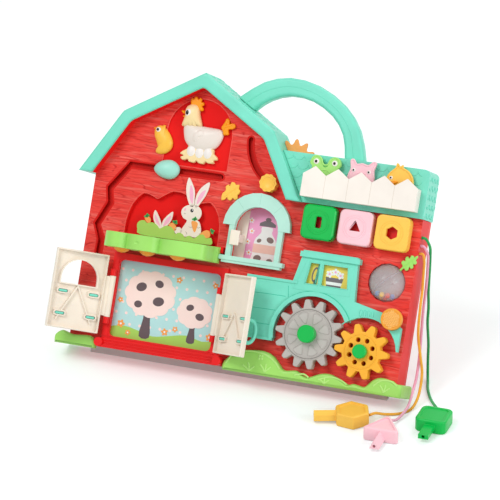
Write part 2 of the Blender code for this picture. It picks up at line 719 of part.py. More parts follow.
def disc(name, x, z, front, back, radius, sides=ROUND_STEPS):
    return rod(name, (x, front, z), (x, back, z), radius, sides)


def box(name, low, high):
    low = Vector(low)
    high = Vector(high)
    shape = bmesh.new()
    place = Matrix.Translation((low + high) / 2) @ Matrix.Diagonal((*(high - low), 1))
    bmesh.ops.create_cube(shape, size=1, matrix=place)
    return add_object(name, mesh_from(shape, name))


def ball(name, centre, radii, sides=16, rings=10):
    shape = bmesh.new()
    place = Matrix.Translation(centre) @ Matrix.Diagonal((*radii, 1))
    bmesh.ops.create_uvsphere(shape, u_segments=sides, v_segments=rings, radius=1, matrix=place)
    return add_object(name, mesh_from(shape, name))


def flat_backed(piece, back):
    """Cuts a rounded piece flat at a back plane and closes it there."""
    shape = bmesh.new()
    shape.from_mesh(piece.data)
    faces = [*shape.verts, *shape.edges, *shape.faces]
    made = bmesh.ops.bisect_plane(shape, geom=faces, plane_co=(0, back, 0), plane_no=(0, 1, 0),
                                  clear_outer=True)
    edges = [part for part in made["geom_cut"] if isinstance(part, bmesh.types.BMEdge)]
    bmesh.ops.contextual_create(shape, geom=edges)
    piece.data = mesh_from(shape, piece.name)
    return piece


def rectangle(left, right, low, high):
    return [(left, low), (right, low), (right, high), (left, high)]


def arc(x, z, radius, start, end, steps):
    angles = [start + (end - start) * step / steps for step in range(steps + 1)]
    return [(x + radius * math.cos(angle), z + radius * math.sin(angle)) for angle in angles]


def circle(x, z, radius, steps=ROUND_STEPS, turn=0.0):
    return arc(x, z, radius, turn, turn + math.tau * (steps - 1) / steps, steps - 1)


def rounded_rectangle(left, right, low, high, corner, steps=3):
    points = []
    quarter = math.pi / 2
    centres = [(right - corner, high - corner), (left + corner, high - corner), (left + corner, low + corner)]
    centres.append((right - corner, low + corner))
    for count, (x, z) in enumerate(centres):
        points += arc(x, z, corner, count * quarter, (count + 1) * quarter, steps)
    return points


def archway(x, half, low, spring, steps=12):
    """A doorway shape: straight sides up to a spring height and a half circle over them."""
    return [(x + half, low), *arc(x, spring, half, 0, math.pi, steps), (x - half, low)]


def smooth(points, closed=True, steps=2):
    """A Catmull-Rom curve through hand-set points."""
    ends = points if closed else [points[0], *points, points[-1]]
    count = len(points)
    result = []
    for index in range(count if closed else count - 1):
        if closed:
            near = [points[(index + shift) % count] for shift in (-1, 0, 1, 2)]
        else:
            near = ends[index:index + 4]
        a, b, c, d = [Vector(point) for point in near]
        for step in range(steps):
            t = step / steps
            bend = (a * 2 - b * 5 + c * 4 - d) * t * t + (b * 3 - a - c * 3 + d) * t * t * t
            place = b * 2 + (c - a) * t + bend
            result.append(tuple(place / 2))
    if not closed:
        result.append(tuple(points[-1]))
    return result


def outline_from(shares, x, z, width, height):
    return [(x + share_x * width, z + share_z * height) for share_x, share_z in shares]


def band(points, half_width, steps=4):
    """The outline of a line of some width with round ends."""
    places = [Vector(point) for point in points]
    headings = [(after - before).normalized() for before, after in zip(places, places[1:])]
    left = []
    right = []
    for index in range(1, len(places) - 1):
        heading = headings[index - 1] + headings[index]
        side = Vector((-heading.y, heading.x)).normalized()
        reach = half_width / side.dot(Vector((-headings[index].y, headings[index].x)))
        left.append(tuple(places[index] + side * reach))
        right.append(tuple(places[index] - side * reach))
    first = math.atan2(headings[0].y, headings[0].x)
    last = math.atan2(headings[-1].y, headings[-1].x)
    start_cap = arc(*places[0], half_width, first + math.pi * 3 / 2, first + math.pi / 2, 2 * steps)
    end_cap = arc(*places[-1], half_width, last + math.pi / 2, last - math.pi / 2, 2 * steps)
    return [*start_cap, *left, *end_cap, *reversed(right)]


def paint(piece, colour_name):
    (red, green, blue), roughness = PALETTE[colour_name]
    material = bpy.data.materials.new(piece.name)
    material.use_nodes = True
    shader = material.node_tree.nodes["Principled BSDF"]
    shader.inputs["Base Color"].default_value = (red, green, blue, 1)
    shader.inputs["Roughness"].default_value = roughness
    shader.inputs["Metallic"].default_value = 1.0 if colour_name == "steel" else 0.0
    shader.inputs["Transmission Weight"].default_value = 0.8 if colour_name == "glass" else 0.0
    piece.data.materials.clear()
    piece.data.materials.append(material)
    piece.data.shade_smooth()
    piece.data.set_sharp_from_angle(angle=SHARP_ANGLE)


def keep(piece, colour_name, carrier):
    """Gives a finished piece its colour and hangs it on its carrier."""
    paint(piece, colour_name)
    piece.parent = carrier
    return piece


def axis_empty(name, place, carrier, turn=(0, 0, 0)):
    made = add_object(name, None)
    made.location = place
    made.rotation_euler = turn
    made.parent = carrier
    return made


def keep_on_axis(piece, colour_name, axis):
    """Hangs a piece that was modelled in board coordinates on an unturned joint axis."""
    piece.data.transform(Matrix.Translation(-axis.location))
    return keep(piece, colour_name, axis)


def gable_half(offset, low):
    """Half of the gable moved out by an offset: its lower end at a height, its kink and its ridge."""
    eave = Vector((GABLE_EAVE, EAVE_Z))
    kink = Vector((GABLE_KINK, KINK_Z))
    top = Vector((0, GABLE_TOP))
    lower = (eave - kink).normalized()
    upper = (kink - top).normalized()
    lower_out = Vector((-lower.y, lower.x))
    upper_out = Vector((-upper.y, upper.x))
    between = (lower_out + upper_out).normalized()
    kink = kink + between * offset / between.dot(lower_out)
    end = kink + lower * (low - kink.y) / lower.y
    return end, kink, top + Vector((0, offset / upper_out.y))


def gable(offset, low, right_low=None):
    """The gable's line over the ridge, from its left end to its right end."""
    left, kink, top = gable_half(offset, low)
    right = gable_half(offset, low if right_low is None else right_low)[0]
    return [
        (GABLE_X - left.x, left.y), (GABLE_X - kink.x, kink.y), (GABLE_X, top.y),
        (GABLE_X + kink.x, kink.y), (GABLE_X + right.x, right.y),
    ]


def roof_x(offset, z):
    return GABLE_X + gable_half(offset, z)[0].x


def left_wall_top(inset):
    """The height at which the left wall meets the gable's lower slope."""
    end, kink, _ = gable_half(RIM_WALL - inset, EAVE_Z)
    share = (BODY_HALF_WIDTH + GABLE_X - inset - kink.x) / (end.x - kink.x)
    return kink.y + (end.y - kink.y) * share


def barn(inset):
    """The body's outline, drawn in from its outer faces by an inset."""
    annex_top = ANNEX_TOP - ROOF_WALL - GAP - inset
    roof = gable(RIM_WALL - inset, left_wall_top(inset), annex_top)
    step_z = ANNEX_BOTTOM - GAP - inset
    wall_x = BODY_HALF_WIDTH - inset
    annex_x = ANNEX_SHELL_RIGHT - inset
    foot = BODY_BOTTOM + inset
    corner = ANNEX_CORNER - ROOF_WALL
    turn = arc(annex_x - corner, annex_top - corner, corner, math.pi / 2, 0, 3)
    return [(-wall_x, foot), *roof, *turn, (annex_x, step_z), (wall_x, step_z), (wall_x, foot)]


def bush_outline(grow=0.0):
    """The recess behind the flap, its base widened and lowered as it grows."""
    width = BUSH_WIDTH + 2 * grow
    return smooth(outline_from(BUSH_SHARES, BUSH_X, BUSH_Z - grow, width, BUSH_HEIGHT + 2 * grow), False)


def track_line():
    straight = [(TRACK_RIGHT, TRACK_Z), (TRACK_LEFT, TRACK_Z)]
    return straight + [(TRACK_LEFT + x * TRACK_DROP, TRACK_Z - z * TRACK_DROP) for x, z in TRACK_BEND_SHARES]


def sun_track(half_width):
    start = SUN_KNOB_REST
    line = arc(SUN_PIVOT_X, SUN_PIVOT_Z, SUN_TRACK_RADIUS, start, start - SUN_KNOB_TRAVEL, 8)
    return band(line, half_width)


def pocket_cut(half_width, x, z):
    return disc("bore", x, z, -OVERRUN, SHELL_WALL + OVERRUN, half_width, SMALL_ROUND_STEPS)


def popup_stems():
    return [FROG_X, PIG_X, POP_CHICK_X]


def block_centres():
    return [BLOCK_FIRST_X + BLOCK_PITCH * count for count in range(3)]


def stem_slot(x, front, back):
    radius = POPUP_STEM_RADIUS + RUNNING_GAP
    line = [(x, POPUP_STEM_Z - POPUP_TRAVEL), (x, POPUP_STEM_Z)]
    return slab("slot", [band(line, radius, 3)], front - OVERRUN, back + OVERRUN)


def front_shell(board):
    """The red front half of the body: face, walls, gable rim and the seats behind the face."""
    shell = slab("front_shell", [barn(0)], 0, SHELL_BACK)
    hollow = slab("hollow", [barn(SHELL_WALL)], SHELL_WALL, SHELL_BACK + OVERRUN)
    rim_line = [*gable(RIM_WALL, EAVE_Z), *reversed(gable(0, EAVE_Z))]
    cut(shell, hollow)
    join(shell, slab("rim", [rim_line], RIM_FRONT, FUSE))
    tub = slab("tub", [bush_outline(BUSH_TUB_WALL)], FUSE, BUSH_RECESS_FLOOR + BUSH_TUB_WALL)
    rail_left = WINDOW_X - RAIL_HALF_LENGTH - SHUTTER_TRAVEL / 2
    rail_right = WINDOW_X + RAIL_HALF_LENGTH - SHUTTER_TRAVEL / 2
    rails = []
    for low in (SHUTTER_TOP + GAP, SHUTTER_BOTTOM - GAP - RAIL_HEIGHT):
        high = (rail_right, SHUTTER_FRONT + SHUTTER_SHEET + GAP, low + RAIL_HEIGHT)
        rails.append(box("rail", (rail_left, FUSE, low), high))
    knuckle = FLAP_BARREL_RADIUS + FUSE
    lugs = []
    for side in (FLAP_LEFT - GAP - FLAP_LUG_WIDTH, FLAP_RIGHT + GAP):
        low = (side, FLAP_AXIS_Y - knuckle, FLAP_AXIS_Z - FLAP_LUG_HALF_HEIGHT)
        high = (side + FLAP_LUG_WIDTH, FUSE, FLAP_AXIS_Z + FLAP_LUG_HALF_HEIGHT)
        lugs.append(box("lug", low, high))
    ears = []
    ear_reach = BALL_RADIUS + GAP + FUSE
    for low, high in ((ear_reach, ear_reach + TRUNNION_LENGTH), (-ear_reach - TRUNNION_LENGTH, -ear_reach)):
        corner = (BALL_X - EAR_WIDTH / 2, FUSE, BALL_Z + low)
        ears.append(box("ear", corner, (BALL_X + EAR_WIDTH / 2, BALL_Y + EAR_WIDTH / 2, BALL_Z + high)))
    hub_places = ((GREY_X, GREY_Z), (YELLOW_X, YELLOW_Z))
    bosses = [disc("boss", x, z, GEAR_BACK + GAP, FUSE, HUB_BOSS_RADIUS) for x, z in hub_places]
    join(shell, tub, *rails, *lugs, *ears, *bosses)
    through = SHELL_WALL + OVERRUN
    cuts = [
        sun_slot(),
        slab("bush", [bush_outline()], -OVERRUN, BUSH_RECESS_FLOOR),
        slab("arch", [archway(HEN_ARCH_X, HEN_ARCH_RADIUS, HEN_ARCH_BOTTOM, HEN_ARCH_Z)], -OVERRUN,
             HEN_ARCH_DEPTH),
        slab("egg_track", [band(track_line(), TRACK_WIDTH / 2)], -OVERRUN, through),
        slab("sun_track", [sun_track(TRACK_WIDTH / 2)], -OVERRUN, through),
        slab("doorway", [rounded_rectangle(
            DOORWAY_LEFT, DOORWAY_RIGHT, DOORWAY_LOW, DOORWAY_HIGH, DOORWAY_CORNER)], -OVERRUN, through),
        slab("window", [archway(
            WINDOW_X, WINDOW_OUTER - WINDOW_BAND, SILL_HIGH + GAP, WINDOW_OPENING_Z)], -OVERRUN, through),
        pocket_cut(BALL_HOLE, BALL_X, BALL_Z),
        rod("ball_axle", (BALL_X, BALL_Y, BALL_Z - ear_reach - OVERRUN - TRUNNION_LENGTH),
            (BALL_X, BALL_Y, BALL_Z + ear_reach + OVERRUN + TRUNNION_LENGTH), TRUNNION_RADIUS + GAP),
        pocket_cut(HEADLIGHT_STEM_RADIUS + GAP, HEADLIGHT_X, HEADLIGHT_Z),
        rod("flap_bore", (FLAP_LEFT - OVERRUN, FLAP_AXIS_Y, FLAP_AXIS_Z),
            (FLAP_RIGHT + OVERRUN, FLAP_AXIS_Y, FLAP_AXIS_Z), FLAP_PIN_RADIUS + GAP, 10),
    ]
    for x, z in hub_places:
        cuts.append(disc("hub_bore", x, z, GEAR_BACK - OVERRUN, through, HUB_STEM_RADIUS + GAP,
                         SMALL_ROUND_STEPS))
    for x in popup_stems():
        cuts.append(stem_slot(x, 0, SHELL_WALL))
    for x in block_centres():
        cuts.append(pocket_cut(PLUNGER_STEM_RADIUS + RUNNING_GAP, x, BLOCK_Z))
    for z in cord_heights():
        inner = BODY_HALF_WIDTH - SHELL_WALL - OVERRUN
        outer = BODY_HALF_WIDTH + OVERRUN
        cuts.append(rod("cord_hole", (inner, CORD_EXIT_Y, z), (outer, CORD_EXIT_Y, z), CORD_HOLE, 10))
    cut(shell, *cuts)
    keep(shell, "red", board)


def world_to_board(y, z):
    """Board Y and Z of a point given by its world Y and Z."""
    turned_y = y - BOARD_Y
    turned_z = z - BOARD_Z
    board_y = turned_y * math.cos(LEAN) - turned_z * math.sin(LEAN)
    return board_y, turned_y * math.sin(LEAN) + turned_z * math.cos(LEAN)


def cord_heights():
    return [world_to_board(*route[0][1:])[1] for route in (GREEN_CORD_ROUTE, PINK_CORD_ROUTE,
        YELLOW_CORD_ROUTE)]


def floor_line(y):
    """Board Z of the floor at a board Y."""
    return (y * math.sin(LEAN) - BOARD_Z) / math.cos(LEAN)


def back_cover(board):
    front = SHELL_BACK + GAP
    cover = slab("back_cover", [barn(0)], front, BODY_BACK)
    cut(cover, slab("hollow", [barn(SHELL_WALL)], front - OVERRUN, BODY_BACK - COVER_WALL))
    side = Matrix(((0, 0, 1, 0), (1, 0, 0, 0), (0, 1, 0, 0), (0, 0, 0, 1)))
    inner = front + GAP
    lip = BODY_BACK + FOOT_RAIL_LIP
    rail_top = BODY_BOTTOM + FUSE
    profile = [(inner, floor_line(inner)), (lip, floor_line(lip)), (lip, rail_top), (inner, rail_top)]
    rail = plate("rail", [profile], -FOOT_RAIL_HALF_LENGTH, FOOT_RAIL_HALF_LENGTH)
    rail.data.transform(side)
    lugs = []
    for centre in stand_lugs():
        low = (centre - LUG_WIDTH / 2, BODY_BACK - FUSE, STAND_PIVOT_Z - LUG_HALF_HEIGHT)
        high = (centre + LUG_WIDTH / 2, STAND_PIVOT_Y + LUG_HALF_HEIGHT, STAND_PIVOT_Z + LUG_HALF_HEIGHT)
        lugs.append(box("lug", low, high))
    join(cover, rail, *lugs)
    reach = STAND_HALF_WIDTH + 2 * LUG_WIDTH
    pivot = (STAND_PIVOT_Y, STAND_PIVOT_Z)
    bore = rod("bore", (-reach, *pivot), (reach, *pivot), STAND_PIN_RADIUS + GAP)
    keep(cut(cover, bore), "red", board)


def stand_lugs():
    centre = STAND_HALF_WIDTH + GAP + LUG_WIDTH / 2
    return [-centre, centre]


def slope_strip(inner, outer, low, high):
    """A strip across the right lower slope between two offsets and two heights."""
    bottom = [(roof_x(inner, low), low), (roof_x(outer, low), low)]
    return [*bottom, (roof_x(outer, high), high), (roof_x(inner, high), high)]


def roof_trim(board):
    """The mint barge board round the gable with its roof skirt and closed eaves."""
    band_line = [*gable(TRIM_WIDTH, EAVE_Z), *reversed(gable(0, EAVE_Z))]
    trim = slab("roof_trim", [band_line], TRIM_FRONT, BODY_BACK)
    inside = [*gable(TRIM_WIDTH - ROOF_WALL, EAVE_Z - OVERRUN), *reversed(gable(-OVERRUN, EAVE_Z - OVERRUN))]
    cut(trim, slab("inside", [inside], TRIM_FRONT + TRIM_SHEET, BODY_BACK + OVERRUN))
    eave_high = EAVE_Z + ROOF_WALL
    wall_gap = BODY_HALF_WIDTH + GAP
    outer = 2 * GABLE_X - roof_x(TRIM_WIDTH - FUSE, EAVE_Z)
    rim_x = roof_x(RIM_WALL + GAP, EAVE_Z)
    join(
        trim,
        box("eave", (outer, TRIM_FRONT + TRIM_SHEET - FUSE, EAVE_Z), (2 * GABLE_X - rim_x, FUSE, eave_high)),
        box("eave_back", (outer, FUSE + GAP, EAVE_Z), (-wall_gap, BODY_BACK, eave_high)),
        box("eave_link", (outer, -FUSE, EAVE_Z), (2 * GABLE_X - rim_x - FUSE, 3 * FUSE,
            eave_high - FUSE / 2)),
        slab("right_eave", [slope_strip(RIM_WALL + GAP, TRIM_WIDTH - FUSE, EAVE_Z, eave_high)],
             TRIM_FRONT + TRIM_SHEET - FUSE, -GAP),
    )
    start = (roof_x(0, ANNEX_TOP), -GAP, EAVE_Z - OVERRUN)
    cut(trim, box("behind", start, (ANNEX_RIGHT, BODY_BACK + OVERRUN, ANNEX_TOP + GAP)))
    keep(trim, "mint", board)


def annex_outline(inset, low):
    corner = ANNEX_CORNER - inset
    right = ANNEX_RIGHT - inset
    top = ANNEX_TOP - inset
    turn = arc(right - corner, top - corner, corner, 0, math.pi / 2, 4)
    edge = TRIM_WIDTH + GAP
    return [(roof_x(edge, low), low), (right, low), *turn, (roof_x(edge, top), top)]


def annex_roof(board):
    roof = slab("annex_roof", [annex_outline(0, ANNEX_BOTTOM)], ANNEX_FRONT, BODY_BACK)
    inner = annex_outline(ROOF_WALL, ANNEX_BOTTOM)
    wide = [(x - OVERRUN if x < ANNEX_RIGHT / 2 else x, z) for x, z in inner]
    open_low = [(x, z - OVERRUN if z < ANNEX_BOTTOM + FUSE else z) for x, z in wide]
    raised = [(x, z + ROOF_WALL if z < ANNEX_BOTTOM + FUSE else z) for x, z in wide]
    cut(
        roof,
        slab("hollow", [open_low], -GAP, BODY_BACK + OVERRUN),
        slab("pocket", [raised], ANNEX_FRONT + ROOF_WALL, FUSE),
    )
    cut(roof, sun_slot(), *[stem_slot(x, ANNEX_FRONT, ANNEX_FRONT + ROOF_WALL) for x in popup_stems()])
    keep(roof, "mint", board)


def sun_slot():
    """The slot that lets the sun slide down beside the gable, through both roofs over the annex."""
    shift = SUN_TRAVEL * gable_slope().x
    reach = SUN_X + SUN_RADIUS + shift + RUNNING_GAP
    return box(
        "sun_slot", (roof_x(RIM_WALL, ANNEX_TOP), SUN_FRONT - RUNNING_GAP,
                     ANNEX_TOP - 3 * ROOF_WALL - OVERRUN),
        (reach, SUN_FRONT + SUN_THICKNESS + RUNNING_GAP, ANNEX_TOP + OVERRUN),
    )


def gable_slope():
    """The direction down the gable's lower slope on the right."""
    return Vector((GABLE_EAVE - GABLE_KINK, EAVE_Z - KINK_Z)).normalized()


def carry_handle(board):
    sides = []
    for shares in (HANDLE_OUTER_SHARES, HANDLE_INNER_SHARES):
        sides += smooth(outline_from(shares, HANDLE_X, HANDLE_Z, HANDLE_RADIUS, HANDLE_RADIUS), False)
    front = HANDLE_Y - HANDLE_THICKNESS / 2
    back = HANDLE_Y + HANDLE_THICKNESS / 2
    handle = slab("carry_handle", [sides], front, back)
    soften(handle, HANDLE_ROUND)
    roof = slab("roof", [gable(TRIM_WIDTH + GAP, EAVE_Z)], front - OVERRUN, back + OVERRUN)
    lid = box("lid", (GABLE_X, front - OVERRUN, EAVE_Z), (ANNEX_RIGHT, back + OVERRUN, ANNEX_TOP + GAP))
    keep(cut(handle, roof, lid), "mint", board)


def grass(board):
    width = BODY_HALF_WIDTH - GRASS_RIGHT_START
    right = smooth(outline_from(GRASS_SHARES, GRASS_RIGHT_START, 0, width, GRASS_HEIGHT), False)
    outer = BODY_HALF_WIDTH + GRASS_END
    wall = BODY_HALF_WIDTH + GAP
    end = rounded_rectangle(wall, outer, 0, GRASS_END_HEIGHT, GRASS_END / 3)
    bridge = rectangle(BODY_HALF_WIDTH - GRASS_END, outer - FUSE, FUSE, GRASS_END_HEIGHT - FUSE)
    piece = slab("grass_right", [right], GRASS_FRONT, -GAP)
    link = slab("bridge", [bridge], GRASS_FRONT + FUSE, -2 * GAP)
    join(piece, slab("end", [end], GRASS_FRONT, BODY_BACK), link)
    keep(piece, "grass", board)
    outer = -BODY_HALF_WIDTH - 2 * GRASS_END
    left = smooth(outline_from(GRASS_LEFT_SHARES, outer, 0, GRASS_LEFT_END - outer, GRASS_LEFT_HEIGHT), False)
    end = rectangle(outer + FUSE, -wall, FUSE, GRASS_LEFT_HEIGHT * GRASS_LEFT_SHARE)
    piece = slab("grass_left", [left], GRASS_FRONT, -GAP)
    keep(join(piece, slab("end", [end], GRASS_FRONT + FUSE, BODY_BACK)), "grass", board)


def figure(name, shares, x, z, width, height, depth, rounding, colour, board):
    loop = smooth(outline_from(shares, x, z, width, height))
    piece = slab(name, [loop], FIGURE_BACK - depth, FIGURE_BACK)
    if rounding:
        soften(piece, rounding)
    keep(piece, colour, board)
    return piece


def hen_and_chick(board):
    """The hen in five reliefs that lie side by side in the arch, and the chick beside it."""
    pieces = [
        ("hen_body", HEN_BODY_SHARES, HEN_BODY_X, HEN_BODY_Z, HEN_BODY_WIDTH, HEN_BODY_HEIGHT,
         HEN_BODY_DEPTH),
        ("hen_head", HEN_HEAD_SHARES, HEN_HEAD_X, HEN_HEAD_Z, HEN_HEAD_WIDTH, HEN_HEAD_HEIGHT,
         HEN_HEAD_DEPTH),
        ("hen_comb", HEN_COMB_SHARES, HEN_COMB_X, HEN_COMB_Z, HEN_COMB_SIZE, HEN_COMB_SIZE, HEN_COMB_DEPTH),
        ("hen_tail", HEN_TAIL_SHARES, HEN_TAIL_X, HEN_TAIL_Z, HEN_TAIL_SIZE, HEN_TAIL_SIZE, HEN_TAIL_DEPTH),
        ("hen_nest", HEN_NEST_SHARES, HEN_NEST_X, HEN_NEST_Z, HEN_NEST_WIDTH, HEN_NEST_HEIGHT,
         HEN_NEST_DEPTH),
    ]
    back = HEN_ARCH_DEPTH - GAP
    loops = {}
    made = {}
    for name, shares, x, z, width, height, depth in pieces:
        loops[name] = smooth(outline_from(shares, x, z, width, height))
        seat = FIGURE_BACK if name in ("hen_comb", "hen_tail") else back
        made[name] = slab(name, [loops[name]], FIGURE_BACK - depth, seat)
    for step in (-1, 0, 1):
        place = (HEN_NEST_X + step * HEN_EGG_SPACING, HEN_NEST_Z + HEN_EGG_RADIUS / 2)
        join(made["hen_nest"], disc("egg", *place, FIGURE_BACK - HEN_EGG_DEPTH, back - FUSE, HEN_EGG_RADIUS,
                                    12))
    for name in ("hen_body", "hen_head"):
        soften(made[name], FIGURE_ROUND)
    front = FIGURE_BACK - HEN_BODY_DEPTH - OVERRUN
    carve = (("hen_head", "hen_body"), ("hen_comb", "hen_head"), ("hen_tail", "hen_body"),
             ("hen_nest", "hen_body"))
    for target, cutter in carve:
        cut(made[target], slab("clearance", [grown(loops[cutter], GAP)], front, back + OVERRUN))
    for name, colour in HEN_COLOURS.items():
        keep(made[name], colour, board)
    chick = slab("chick_figure", [smooth(outline_from(CHICK_SHARES, CHICK_X, CHICK_Z, CHICK_WIDTH,
        CHICK_HEIGHT))],
                 FIGURE_BACK - CHICK_DEPTH, FIGURE_BACK)
    soften(chick, FIGURE_ROUND)
    keep(chick, "yellow", board)


def grown(loop, margin):
    """A loop moved out by a margin, corner by corner; the loop runs either way round."""
    area = sum(a[0] * b[1] - b[0] * a[1] for a, b in zip(loop, [*loop[1:], loop[0]]))
    sign = 1 if area > 0 else -1
    count = len(loop)
    result = []
    for index in range(count):
        before = Vector(loop[index - 1])
        here = Vector(loop[index])
        after = Vector(loop[(index + 1) % count])
        first = (here - before).normalized()
        second = (after - here).normalized()
        out = (Vector((first.y, -first.x)) + Vector((second.y, -second.x))) * sign
        if out.length < MITRE_LIMIT_SHARE:
            out = Vector((first.y, -first.x)) * sign
        result.append(tuple(here + out.normalized() * margin))
    return result


def small_leaves(board):
    figure("leaf_yellow", LEAF_YELLOW_SHARES, LEAF_YELLOW_X, LEAF_YELLOW_Z, LEAF_YELLOW_WIDTH,
           LEAF_YELLOW_HEIGHT,
           LEAF_DEPTH, 0, "yellow", board)
    figure("leaf_green", LEAF_GREEN_SHARES, LEAF_GREEN_X, LEAF_GREEN_Z, LEAF_GREEN_WIDTH, LEAF_GREEN_HEIGHT,
           LEAF_DEPTH, 0, "bush", board)


def slider_stem(x, z, front):
    """The neck through the face and the head that holds it behind."""
    head = SHELL_WALL + GAP
    neck = disc("neck", x, z, front, head + SLIDER_HEAD_THICKNESS / 2, SLIDER_STEM_RADIUS, SMALL_ROUND_STEPS)
    return neck, disc("head", x, z, head, head + SLIDER_HEAD_THICKNESS, SLIDER_HEAD_RADIUS)


def egg_slider(board):
    axis = axis_empty("egg_axis", (EGG_X, 0, TRACK_Z), board)
    egg = ball("egg_slider", (EGG_X, -GAP, TRACK_Z), (EGG_LENGTH / 2, EGG_DEPTH, EGG_HEIGHT / 2))
    flat_backed(egg, CARD_FRONT - RUNNING_GAP)
    keep_on_axis(join(egg, *slider_stem(EGG_X, TRACK_Z, -EGG_DEPTH / 2)), "egg", axis)


def sun(board):
    """The dished knob on its curved track, and the rayed disc that it drives behind the annex roof."""
    pivot = axis_empty("sun_knob_axis", (SUN_PIVOT_X, 0, SUN_PIVOT_Z), board)
    x = SUN_PIVOT_X + SUN_TRACK_RADIUS * math.cos(SUN_KNOB_REST)
    z = SUN_PIVOT_Z + SUN_TRACK_RADIUS * math.sin(SUN_KNOB_REST)
    steps = 4 * SUN_KNOB_LOBES
    loop = []
    for step in range(steps):
        angle = math.tau * step / steps
        radius = SUN_KNOB_RADIUS * (1 - SUN_LOBE_SHARE * (1 - math.cos(SUN_KNOB_LOBES * angle)))
        loop.append((x + radius * math.cos(angle), z + radius * math.sin(angle)))
    knob = slab("sun_knob", [loop], SUN_KNOB_FRONT, -GAP)
    dish_radius = SUN_KNOB_RADIUS * SUN_DISH_SHARE
    dish = ball("dish", (x, SUN_KNOB_FRONT - FUSE, z), (dish_radius, SUN_KNOB_DISH + FUSE, dish_radius), 12,
                6)
    join(cut(knob, dish), *slider_stem(x, z, SUN_KNOB_FRONT / 2))
    keep_on_axis(knob, "yellow", pivot)
    rays = []
    steps = 8 * SUN_RAYS
    for step in range(steps):
        angle = math.tau * step / steps
        swell = (1 + math.cos(SUN_RAYS * angle)) / 2
        radius = SUN_RADIUS * (SUN_ROOT_SHARE + (1 - SUN_ROOT_SHARE) * swell ** SUN_RAY_POWER)
        rays.append((SUN_X + radius * math.cos(angle), SUN_Z + radius * math.sin(angle)))
    axis = axis_empty("sun_disc_axis", (SUN_X, SUN_FRONT, SUN_Z), board)
    rayed = slab("sun_disc", [rays], SUN_FRONT, SUN_FRONT + SUN_THICKNESS)
    edge = TRIM_WIDTH + RUNNING_GAP
    low = SUN_Z - 2 * SUN_RADIUS
    high = SUN_Z + 2 * SUN_RADIUS
    beside = [(roof_x(edge, low), low), (roof_x(edge, high), high), (GABLE_X, high), (GABLE_X, low)]
    cut(rayed, slab("beside", [beside], SUN_FRONT - OVERRUN, SUN_FRONT + SUN_THICKNESS + OVERRUN))
    keep_on_axis(rayed, "sun", axis)


def bush_flap(board):
    """The lobed flap in its closed place about its hinge line, then laid open by a quarter turn."""
    centre = (FLAP_LEFT + FLAP_RIGHT) / 2
    width = FLAP_RIGHT - FLAP_LEFT
    axis = axis_empty("flap_axis", (centre, FLAP_AXIS_Y, FLAP_AXIS_Z), board, (math.pi / 2, 0, 0))
    loop = smooth(outline_from(FLAP_LOBE_SHARES, 0, 0, width, FLAP_REACH), False)
    inner_reach = FLAP_REACH - 2 * FLAP_WALL
    inner = smooth(outline_from(FLAP_LOBE_SHARES, 0, FLAP_WALL, width - 2 * FLAP_WALL, inner_reach), False)
    flap = slab("bush_flap", [loop], -FLAP_FRONT_DEPTH, FLAP_REAR_DEPTH)
    floor = -FLAP_FRONT_DEPTH + FLAP_WALL
    hem = FLAP_BARREL_RADIUS + FUSE
    cut(flap, slab("tray", [inner], floor, FLAP_REAR_DEPTH + OVERRUN),
        box("corner", (-width, -FLAP_BARREL_RADIUS + FUSE, -hem), (width, OVERRUN, hem)))
    end = width / 2
    barrel = rod("barrel", (-end, 0, 0), (end, 0, 0), FLAP_BARREL_RADIUS)
    hem_end = (end - FUSE, -FLAP_BARREL_RADIUS / 2, FLAP_BARREL_RADIUS - FUSE)
    join(flap, barrel, box("hem", (-end + FUSE, -FLAP_HEM, FUSE), hem_end))
    holes = [rod("bore", (-width, 0, 0), (width, 0, 0), FLAP_PIN_RADIUS + GAP, 10)]
    notch = (-FLAP_NOTCH_SHARE * width, -FLAP_FRONT_DEPTH / 2, FLAP_REACH)
    holes.append(ball("notch", notch, (FLAP_NOTCH_RADIUS, FLAP_NOTCH_RADIUS / 2, FLAP_WALL / 2), 12, 8))
    for share in CARROT_PLACE_SHARES:
        holes.append(disc("hole", share * width, CARROT_REACH_SHARE * FLAP_REACH, -FLAP_FRONT_DEPTH - OVERRUN,
                          floor + OVERRUN, CARROT_RADIUS + GAP))
    keep(cut(flap, *holes), "bush", axis)
    low = floor + GAP
    first = CARROT_PLACE_SHARES[0] * width - CARROT_RADIUS - FLAP_WALL
    last = CARROT_PLACE_SHARES[-1] * width + CARROT_RADIUS + FLAP_WALL
    middle = CARROT_REACH_SHARE * FLAP_REACH
    half = CARROT_RADIUS + FLAP_WALL
    carrots = slab("flap_carrots", [rectangle(first, last, middle - half, middle + half)], low,
                   low + CARROT_SHEET)
    domes = []
    for share in CARROT_PLACE_SHARES:
        place = (share * width, low + FUSE, middle)
        depth = CARROT_PROUD + low + FLAP_FRONT_DEPTH
        dome = ball("dome", place, (CARROT_RADIUS, depth, CARROT_RADIUS), 14, 8)
        domes.append(flat_backed(dome, low + FUSE))
    keep(join(carrots, *domes), "orange", axis)
    lug = FLAP_LUG_WIDTH + GAP
    line = (FLAP_AXIS_Y, FLAP_AXIS_Z)
    pin = rod("flap_pin", (FLAP_LEFT - lug, *line), (FLAP_RIGHT + lug, *line), FLAP_PIN_RADIUS, 10)
    keep(pin, "steel", board)


def rabbit_card(board):
    loop = smooth(outline_from(CARD_SHARES, CARD_X, CARD_BOTTOM, CARD_WIDTH, CARD_HEIGHT), False)
    keep(slab("rabbit_card", [loop], CARD_FRONT, CARD_BACK), "card_green", board)


